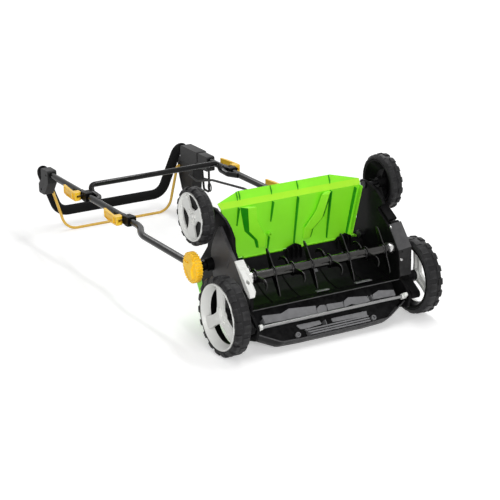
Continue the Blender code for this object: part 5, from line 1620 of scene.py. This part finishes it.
# %% Flap ribs and chutes
RIB_END = FLAP_LONG - 0.001
RIBS = ((-0.15, -0.15, 0.083, RIB_END, 0.0035, 0.01), (-0.0565, -0.056, 0.078, RIB_END, 0.0045, 0.01),
        (-0.062, -0.06, 0.008, 0.04, 0.0045, 0.0075), (0.012, 0.014, 0.006, RIB_END, 0.0045, 0.01),
        (0.106, 0.108, 0.006, RIB_END, 0.0045, 0.01),
        (0.164, 0.179, 0.008, FLAP_LONG - 0.004, 0.006, 0.0105))


def flap_ribs():
    solids = [flap_rib(*row) for row in RIBS]
    solids += [gusset(x) for x in (-0.146, -0.139, -0.052, 0.022, 0.113)]
    # Painted shade: the ribs take a dark copy of the green.
    return finish("flap_ribs", solids, "shaded_green", "rear_flap", edge=0.0004)


CHUTE_FACE = [(-0.13, 0.131), (-0.118, 0.064), (-0.092, 0.036), (-0.087, 0.014), (-0.07, 0.014),
              (-0.071, 0.045), (-0.097, 0.089), (-0.106, 0.131)]


def chute(flip, move):
    """Raised wedge whose face narrows towards the hinge, with a steep outer flank."""
    bm = bmesh.new()
    top = []
    foot = []
    for x, along in CHUTE_FACE:
        rise = 0.003 + 0.085 * max(0.0, along - 0.012)
        inner = x > -0.0815 - 0.32 * max(0.0, along - 0.06)
        step = 0.003 if inner else -(0.004 + rise * 0.85)
        top.append(bm.verts.new(on_flap(flip * x + move, along, rise)))
        foot.append(bm.verts.new(on_flap(flip * (x + step) + move, along, -0.0006)))
    count = len(top)
    bm.faces.new(top)
    bm.faces.new(foot[::-1])
    for k in range(count):
        m = (k + 1) % count
        bm.faces.new((top[k], foot[k], foot[m], top[m]))
    bmesh.ops.triangulate(bm, faces=[f for f in bm.faces if len(f.verts) > 4])
    bmesh.ops.recalc_face_normals(bm, faces=bm.faces)
    return bm


def flap_chutes():
    piece = finish("flap_chutes", together(chute(1, 0.0), chute(-1, -0.03)), "green", "rear_flap",
                   edge=0.0016)
    # Painted shade on the steep flank faces and painted light on the other chute faces, both copies of the
    # green.
    piece.data.materials.append(LOOKS["shaded_green"])
    piece.data.materials.append(LOOKS["spring"])
    for face in piece.data.polygons:
        left = face.center.x < -0.02
        steep = face.normal.x < -0.25 if left else face.normal.x > 0.4
        face.material_index = 1 if steep else 2
    return piece


flap()
flap_ribs()
flap_chutes()

# %% Small catches
def small_catches():
    """Pale spring catch at the flap's right corner and a grey hook on the left wall."""
    catch = [(0.1945, -0.25, -0.033), (0.1965, -0.242, -0.024), (0.1945, -0.233, -0.015)]
    wire = tube(bend(catch, 0.006), 0.0012, 12)
    finish("flap_catch", wire, "white", "rear_flap", edge=0, slot="green")
    hook = fillet([(-0.193, 0.018), (-0.178, 0.017), (-0.176, 0.025), (-0.185, 0.026),
                   (-0.186, 0.033), (-0.193, 0.033)], 0.002, 3)
    finish("wall_hook", prism(hook, -0.209, -0.2015), "motor", "side_plate_left", edge=0.0006,
           slot="deck")


small_catches()

# %% [markdown]
# ## Handle
# The handle is three lengths of glossy black tube, bolted to the deck by yellow knobs and
# held at two folds by yellow cam levers. A second direction frame helps here: s runs up
# along the tubes and w points to their rear side.

# %% Handle directions
HANDLE_ANGLE = radians(129.45)
HANDLE_FOOT = at(-0.158, 0.084)
PIVOT_S, PIVOT_W = -0.0267, 0.0116
TUBE = 0.009
FIT = 0.0003
LOWER_X = 0.25
UPPER_X = 0.222
FOLD_LOW = 0.435
FOLD_HIGH = 0.69
LEG_X = 0.199
CAM_RADIUS = 0.0115
TO_HANDLE = Matrix.Translation(HANDLE_FOOT) @ Matrix.Rotation(HANDLE_ANGLE, 4, "X")


def on_handle(x, s, w):
    return TO_HANDLE @ Vector((x, s, w))


def side_to_side(points):
    """A path through the points and back through their mirror images."""
    return points + [Vector((-p.x, p.y, p.z)) for p in reversed(points)]


def to_handle(bm):
    return placed(bm, TO_HANDLE)


PIVOT = on_handle(0.0, PIVOT_S, PIVOT_W)
print("handle pivot", told(PIVOT, 4))

# %% [markdown]
# The lowest tubes bend inwards above the deck, and each ends in an eye that a big ribbed knob
# clamps. A round section swept along a rounded path stays round through the bends. The knob
# is turned first, as it would be on a lathe, and then gets its ribs and its grip.

# %% Lower tubes and knobs
def lower_tube(side):
    path = bend([on_handle(LOWER_X, PIVOT_S, PIVOT_W), on_handle(LOWER_X, 0.02, 0.0),
                 on_handle(LOWER_X, 0.295, 0.0), on_handle(UPPER_X, 0.352, 0.0),
                 on_handle(UPPER_X, 0.4, 0.0)], [0.03, 0.11, 0.11])
    eye = turned([(LOWER_X - 0.0085, 0.0054), (LOWER_X - 0.0085, 0.012), (LOWER_X - 0.0078, 0.013),
                  (LOWER_X + 0.0078, 0.013), (LOWER_X + 0.0085, 0.012), (LOWER_X + 0.0085, 0.0054)],
                 36, PIVOT)
    return sided("lower_tube_", side, [tube(path, TUBE, 28), eye], "gloss", edge=0)


KNOB_R = 0.038
KNOB_RIBS = 30


def knob(side):
    """Yellow clamp knob: fine ribs round its rim and a raised three cornered grip."""
    body = turned([(0.2594, 0.0), (0.2594, 0.014), (0.26, 0.0148), (0.264, 0.018),
                   (0.265, KNOB_R - 0.004), (0.266, KNOB_R - 0.0026), (0.2785, KNOB_R - 0.0026),
                   (0.28, KNOB_R - 0.004), (0.2812, KNOB_R - 0.007), (0.2812, 0.0)],
                  72, PIVOT)
    ribs = []
    for k in range(KNOB_RIBS):
        outline = around([(KNOB_R - 0.0065, -0.0022), (KNOB_R, -0.0015), (KNOB_R, 0.0015),
                          (KNOB_R - 0.0065, 0.0022)], PIVOT, 2 * pi * k / KNOB_RIBS)
        ribs.append(prism(outline, 0.2656, 0.2806))
    grip = []
    for k in range(3):
        t = 2 * pi * k / 3 + radians(20)
        for reach, lean in ((0.03, -0.2), (0.03, 0.2), (0.0105, pi / 3)):
            grip.append((reach * cos(t + lean), reach * sin(t + lean)))
    raised = prism(fillet(shifted(grip, PIVOT), 0.005, 5), 0.2805, 0.2848)
    ring = turned([(0.2808, 0.03), (0.2822, 0.0304), (0.2822, 0.0322), (0.2808, 0.0326)],
                  60, PIVOT)
    cap = turned([(0.284, 0.0), (0.284, 0.006), (0.285, 0.0052), (0.285, 0.0)], 24, PIVOT)
    return sided("knob_", side, [body, raised, ring, cap] + ribs, "yellow", edge=0.0008)


def knob_bolt(side):
    bolt = turned([(0.193, 0.0), (0.193, 0.0095), (0.1938, 0.0105), (0.199, 0.0105), (0.199, 0.005),
                   (0.26, 0.005), (0.26, 0.0)], 32, PIVOT)
    return sided("knob_bolt_", side, [bolt], "dark_bolt", "knob_", edge=0, slot="steel")


for side in SIDES:
    lower_tube(side)
    knob(side)
    knob_bolt(side)

# %% [markdown]
# At each fold a black block on the tube below holds two ears, a steel pin goes through them
# and through the next tube's flattened end, and a yellow cam lever squeezes them together.
# The block is carved by the tube's own bore, so the two fit whatever their sizes are.

# %% Fold clamps and cam levers
def tube_bore(s0, s1):
    """What a tube takes out of a block that it passes through, between two heights."""
    bore = turned([(s0, 0.0), (s0, TUBE + FIT), (s1, TUBE + FIT), (s1, 0.0)], 28)
    return placed(bore, Matrix.Translation((UPPER_X, 0.0, 0.0)) @ Matrix.Rotation(pi / 2, 4, "Z"))


def rounded_ear(fold, x0, x1, radius):
    ear = [(-0.014, -radius)] + arc(radius, -90, 90, 13) + [(-0.014, radius)]
    return prism(shifted(ear, at(fold, 0.0)), x0, x1)


def fork_block(level, fold, side):
    """Black plastic block on a tube end, with two ears and a steel pin for the next tube."""
    x = UPPER_X
    body = prism(fillet(corners(fold - 0.034, fold - 0.013, -0.0125, 0.0125), 0.003, 4),
                 x - 0.0125, x + 0.0125)
    pocket = prism(fillet(corners(fold - 0.03, fold - 0.018, -0.008, 0.008), 0.002, 3),
                   x - 0.0135, x - 0.0117)
    body = carved(body, (CUT, tube_bore(fold - 0.056, fold - 0.02)), (CUT, pocket))
    ears = [rounded_ear(fold, start, start + 0.008, 0.011) for start in (x - 0.0125, x + 0.0045)]
    return sided(level + "_clamp_", side, [to_handle(together(body, *ears))], "deck", edge=0.0018)


def fork_pin(level, fold, side):
    x = UPPER_X
    pin = turned([(x - 0.0145, 0.0), (x - 0.0145, 0.0054), (x - 0.0139, 0.006), (x - 0.0122, 0.006),
                  (x - 0.0122, 0.003), (x + 0.0245, 0.003), (x + 0.0245, 0.0)], 24, at(fold, 0.0))
    return sided(level + "_pin_", side, [to_handle(pin)], "steel", level + "_clamp_", edge=0, slot="steel")


def cam_lever(level, fold, side):
    """Yellow clamp lever: an eccentric head with a slot, and a hollow finger plate."""
    x = UPPER_X + 0.0128
    hub = x + CAM_RADIUS
    outline = shifted(arc(CAM_RADIUS, 180, 270, 7), at(0.0, hub))
    outline += [(0.012, x), (0.012, x + 0.015), (0.08, x + 0.007), (0.082, x + 0.013),
                (0.05, x + 0.019), (0.012, x + 0.021), (-CAM_RADIUS, x + 0.021)]
    slot = prism(corners(-0.02, 0.0042, x - 0.01, hub + 0.0042), -0.0036, 0.0036)
    hollow = prism(fillet([(0.018, x + 0.0175), (0.05, x + 0.016), (0.074, x + 0.0125), (0.074, x + 0.04),
                           (0.018, x + 0.04)], 0.003, 3), -0.0085, 0.0085)
    pocket = prism(fillet(corners(-0.008, 0.009, x + 0.0185, x + 0.03), 0.002, 3), -0.008, 0.008)
    swap = Matrix(((0, 0, 1, 0), (0, 1, 0, 0), (1, 0, 0, 0), (0, 0, 0, 1)))
    lever = carved(prism(fillet(outline, 0.002, 3), -0.0115, 0.0115), (CUT, slot),
                   (CUT, hollow), (CUT, pocket))
    lever = placed(lever, Matrix.Translation((0.0, fold, 0.0)) @ swap)
    return sided(level + "_cam_", side, [to_handle(lever)], "lemon", edge=0.001)


for side in SIDES:
    for level, fold in (("lower", FOLD_LOW), ("upper", FOLD_HIGH)):
        fork_block(level, fold, side)
        fork_pin(level, fold, side)
        cam_lever(level, fold, side)

# %% [markdown]
# The middle stage is two short tubes joined by a crossbar, and the upper stage is one long
# bent loop with a foam sleeve. One path serves both the loop and the sleeve, so the foam
# follows the metal exactly.

# %% Middle frame and upper tube
def tongue(fold, x):
    """Flattened tube end with a rounded, bored eye."""
    outline = shifted(arc(0.0095, 90, 270, 13) + [(0.024, -0.0088), (0.024, 0.0088)],
                      at(fold, 0.0))
    hole = disc(at(fold, 0.0), 0.0033, 18, x - 0.01, x + 0.01)
    return carved(prism(outline, x - 0.0041, x + 0.0041), (CUT, hole))


def middle_frame():
    solids = []
    for side in SIDES:
        x = side * UPPER_X
        solids.append(tube([(x, FOLD_LOW + 0.02, 0.0), (x, FOLD_HIGH - 0.0335, 0.0)], TUBE, 28))
        solids.append(tongue(FOLD_LOW, x))
    leg = [(LEG_X, 0.703, 0.0195), (LEG_X, 0.688, 0.002), (LEG_X, 0.648, 0.0005),
           (UPPER_X - 0.006, 0.62, 0.0)]
    other = [(-x, s, w) for x, s, w in leg[::-1]]
    bar = bend(other + leg, [0.012, 0.01, 0.014, 0.014, 0.01, 0.012], 8)
    solids.append(tube(bar, 0.0075, 24))
    return finish("middle_frame", to_handle(together(*solids)), "gloss", edge=0)


def grip_path():
    first = on_handle(UPPER_X, 0.7, 0.0)
    corner = on_handle(UPPER_X, 0.99, 0.0)
    low = Vector((0.166, -0.6863, 0.9461))
    return bend(side_to_side([first, corner, low]), [0.03, 0.042, 0.042, 0.03], 10)


GRIP = grip_path()
GRIP_LENGTH = path_length(GRIP)
FOAM_START = 0.264
FOAM_R = 0.0144


def upper_tube():
    solids = [tube(stretch_of(GRIP, 0.01, GRIP_LENGTH - 0.01), TUBE, 28)]
    solids += [to_handle(tongue(FOLD_HIGH, side * UPPER_X)) for side in SIDES]
    return finish("upper_tube", solids, "gloss", edge=0)


def foam_grip():
    """Foam sleeve with soft, rounded ends round the grip loop."""
    path = stretch_of(GRIP, FOAM_START, GRIP_LENGTH - FOAM_START)
    return finish("foam_grip", tube(path, FOAM_R, 36), "foam", edge=0.003)


middle_frame()
upper_tube()
foam_grip()
print("grip loop", round(GRIP_LENGTH, 3), "m of tube")

# %% [markdown]
# ## Bail, pivot box and switch
# The wire bail hangs beside the grip and must be squeezed to run the motor. It turns in a
# small clip-on box at the left and in the switch housing at the right, which holds the
# release button and ends in the nose that takes the mains plug.

# %% Bail wire
BAIL_S, BAIL_W = 0.962, -0.052
BAIL_R = 0.004


def bail_wire():
    pivot = on_handle(0.202, BAIL_S, BAIL_W)
    low = Vector((0.166, -0.624, 0.936))
    end = Vector((0.0165, 0.0, 0.0))
    path = bend(side_to_side([pivot + end, pivot, low]), [0.006, 0.045, 0.045, 0.006], 10)
    return finish("bail_wire", tube(path, BAIL_R, 20), "mustard", "bail_bar", edge=0)


bail_wire()

# %% Pivot box
def pivot_seat():
    return disc(at(BAIL_S, BAIL_W), BAIL_R + FIT, 20, UPPER_X - 0.03, UPPER_X - 0.0025)


def sunk_screws(spots, x):
    return [(CUT, disc(at(s, w), 0.0034, 18, x - 0.0025, x + 0.005)) for s, w in spots]


def pivot_box():
    outline = fillet([(0.905, 0.0135), (0.905, -0.022), (0.935, -0.062), (0.9715, -0.062),
                      (0.9715, -0.036), (0.952, -0.018), (0.952, 0.0135)], 0.006, 5)
    outer = prism(outline, UPPER_X - 0.0135, UPPER_X + 0.0145)
    steps = [(CUT, tube_bore(0.85, 1.05)), (CUT, pivot_seat())]
    steps += sunk_screws(((0.916, 0.0), (0.955, -0.05)), UPPER_X + 0.0145)
    box = carved(outer, *steps)
    return finish("bail_pivot_box", placed(to_handle(box), MIRROR), "switch", "bail_pivot_left",
                  edge=0.0014)

# %% Switch housing
SWITCH_OUTLINE = [(0.85, 0.0135), (0.85, -0.014), (0.872, -0.03), (0.888, -0.122), (0.9, -0.136),
                  (0.935, -0.132), (0.95, -0.118), (0.9715, -0.064), (0.9715, -0.036), (0.952, -0.018),
                  (0.952, 0.0135)]
SCREW_SPOTS = ((0.862, 0.0), (0.942, 0.002), (0.925, -0.105), (0.96, -0.048))
BUTTON_S = (0.912, 0.93)
BUTTON_W = (-0.062, -0.044)


def switch_housing():
    body = prism(fillet(SWITCH_OUTLINE, 0.007, 5), UPPER_X - 0.0135, UPPER_X + 0.019)
    steps = [(CUT, tube_bore(0.8, 1.05)), (CUT, pivot_seat())]
    steps.append((CUT, block(UPPER_X + 0.008, UPPER_X + 0.03, *BUTTON_S, *BUTTON_W)))
    steps += sunk_screws(SCREW_SPOTS, UPPER_X + 0.019)
    inner = prism(fillet([(0.876, -0.034), (0.8905, -0.118), (0.902, -0.131), (0.932, -0.127),
                          (0.944, -0.115), (0.964, -0.062), (0.964, -0.04), (0.93, -0.03)],
                         0.006, 4), UPPER_X - 0.016, UPPER_X - 0.0127)
    steps.append((CUT, inner))
    plug = fillet([(0.893, -0.13), (0.936, -0.13), (0.93, -0.158), (0.899, -0.158)], 0.004, 4)
    rings = []
    for k in range(3):
        near, far, down = k * 0.001, k * 0.0012, k * 0.0055
        rings.append(prism([(0.8935 + near, -0.1385 - down), (0.935 - far, -0.1385 - down),
                            (0.9347 - far, -0.1405 - down), (0.8938 + near, -0.1405 - down)],
                           UPPER_X - 0.0112, UPPER_X + 0.0142))
    solids = [carved(body, *steps), prism(plug, UPPER_X - 0.01, UPPER_X + 0.013)] + rings
    return finish("switch_housing", to_handle(together(*solids)), "switch", "switch_box", edge=0.0015)


def release_button():
    outline = fillet(corners(0.9125, 0.9295, -0.0615, -0.0445), 0.003, 5)
    hollow = fillet(corners(0.915, 0.927, -0.059, -0.047), 0.003, 4)
    button = carved(prism(outline, UPPER_X + 0.013, UPPER_X + 0.025),
                    (CUT, prism(hollow, UPPER_X + 0.0242, UPPER_X + 0.03)))
    return finish("release_button", to_handle(button), "yellow", "lock_button", edge=0.001)


def housing_screws():
    """Screw heads sunk in the switch housing."""
    head = [(UPPER_X + 0.016, 0.0), (UPPER_X + 0.016, 0.003), (UPPER_X + 0.0176, 0.0026),
            (UPPER_X + 0.018, 0.0)]
    solids = [turned(head, 20, at(s, w)) for s, w in SCREW_SPOTS]
    return finish("housing_screws", to_handle(together(*solids)), "steel", "switch_box", edge=0,
                  slot="steel")


pivot_box()
switch_housing()
release_button()
housing_screws()

# %% [markdown]
# ## Cord hook and lead
# A strain relief loop beside the switch stops the mains lead being pulled out. The
# machine's own lead runs from the switch down the right tube to the motor, past the three
# folds of the handle. It is made in three lengths, none of them tied to a body.

# %% Cord hook
def cord_hook():
    clip = prism(fillet([(0.79, 0.013), (0.79, -0.03), (0.846, -0.03), (0.846, 0.013)], 0.005, 4),
                 UPPER_X - 0.013, UPPER_X + 0.013)
    clip = carved(clip, (CUT, tube_bore(0.75, 0.9)))
    big = bend([(UPPER_X, 0.845, -0.024), (UPPER_X, 0.835, -0.095), (UPPER_X, 0.803, -0.095),
                (UPPER_X, 0.803, -0.024)], 0.008, 6)
    bar = [(UPPER_X, 0.838, -0.062), (UPPER_X, 0.803, -0.058)]
    ring = [(UPPER_X, 0.8 + 0.0095 * cos(2 * pi * k / 24), -0.08 + 0.012 * sin(2 * pi * k / 24))
            for k in range(24)]
    solids = [clip, tube(big, 0.0034, 16), tube(bar, 0.0026, 12), tube(ring, 0.0018, 12, closed=True)]
    return finish("cord_hook", to_handle(together(*solids)), "switch", "cable_hook", edge=0.0009)


cord_hook()

# %% [markdown]
# A cable is a thin tube along a rounded path. All three lengths are cut from one path and
# have a point every few millimetres.

# %% Lead
LEAD_R = 0.0033


def lead_path():
    points = [on_handle(0.202, 0.886, -0.06), on_handle(0.196, 0.83, -0.064),
              on_handle(0.199, 0.74, -0.04), on_handle(0.2, 0.56, -0.02),
              on_handle(0.201, 0.36, -0.018), on_handle(0.22, 0.25, -0.02),
              on_handle(0.205, 0.13, -0.03), Vector((0.121, -0.193, 0.182)),
              Vector((0.119, -0.1768, 0.177))]
    return bend(points, [0.03] * 6 + [0.008], 6)


def fine_path(path, step):
    """The same path with a point at least every step."""
    out = [path[0]]
    for a, b in zip(path, path[1:]):
        count = max(1, int((b - a).length / step) + 1)
        out += [a.lerp(b, k / count) for k in range(1, count + 1)]
    return out


def near(path, s):
    """How far along the path a height on the handle is reached."""
    run = 0.0
    for a, b in zip(path, path[1:]):
        if (TO_HANDLE.inverted() @ b).y <= s:
            return run
        run += (b - a).length
    return run


def lead():
    path = lead_path()
    total = path_length(path)
    cuts = [0.0, near(path, 0.56), near(path, 0.24), total]
    joins = (("lead_upper", "upper_handle", "middle_handle", FOLD_HIGH, 0.03, 0.0),
             ("lead_middle", "middle_handle", "lower_handle", FOLD_LOW, 0.03, 0.0),
             ("lead_lower", "lower_handle", "chassis", PIVOT_S, 0.07, PIVOT_W))
    for k, (name, first, second, fold, reach, w) in enumerate(joins):
        part = fine_path(stretch_of(path, cuts[k], cuts[k + 1]), 0.004)
        piece = finish(name, tube(part, LEAD_R, 16), "cable", "motor_cable", edge=0, ties=False)
        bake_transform(piece)
    return total


LEAD_LENGTH = lead()
print("lead from switch to motor:", round(LEAD_LENGTH, 3), "m")
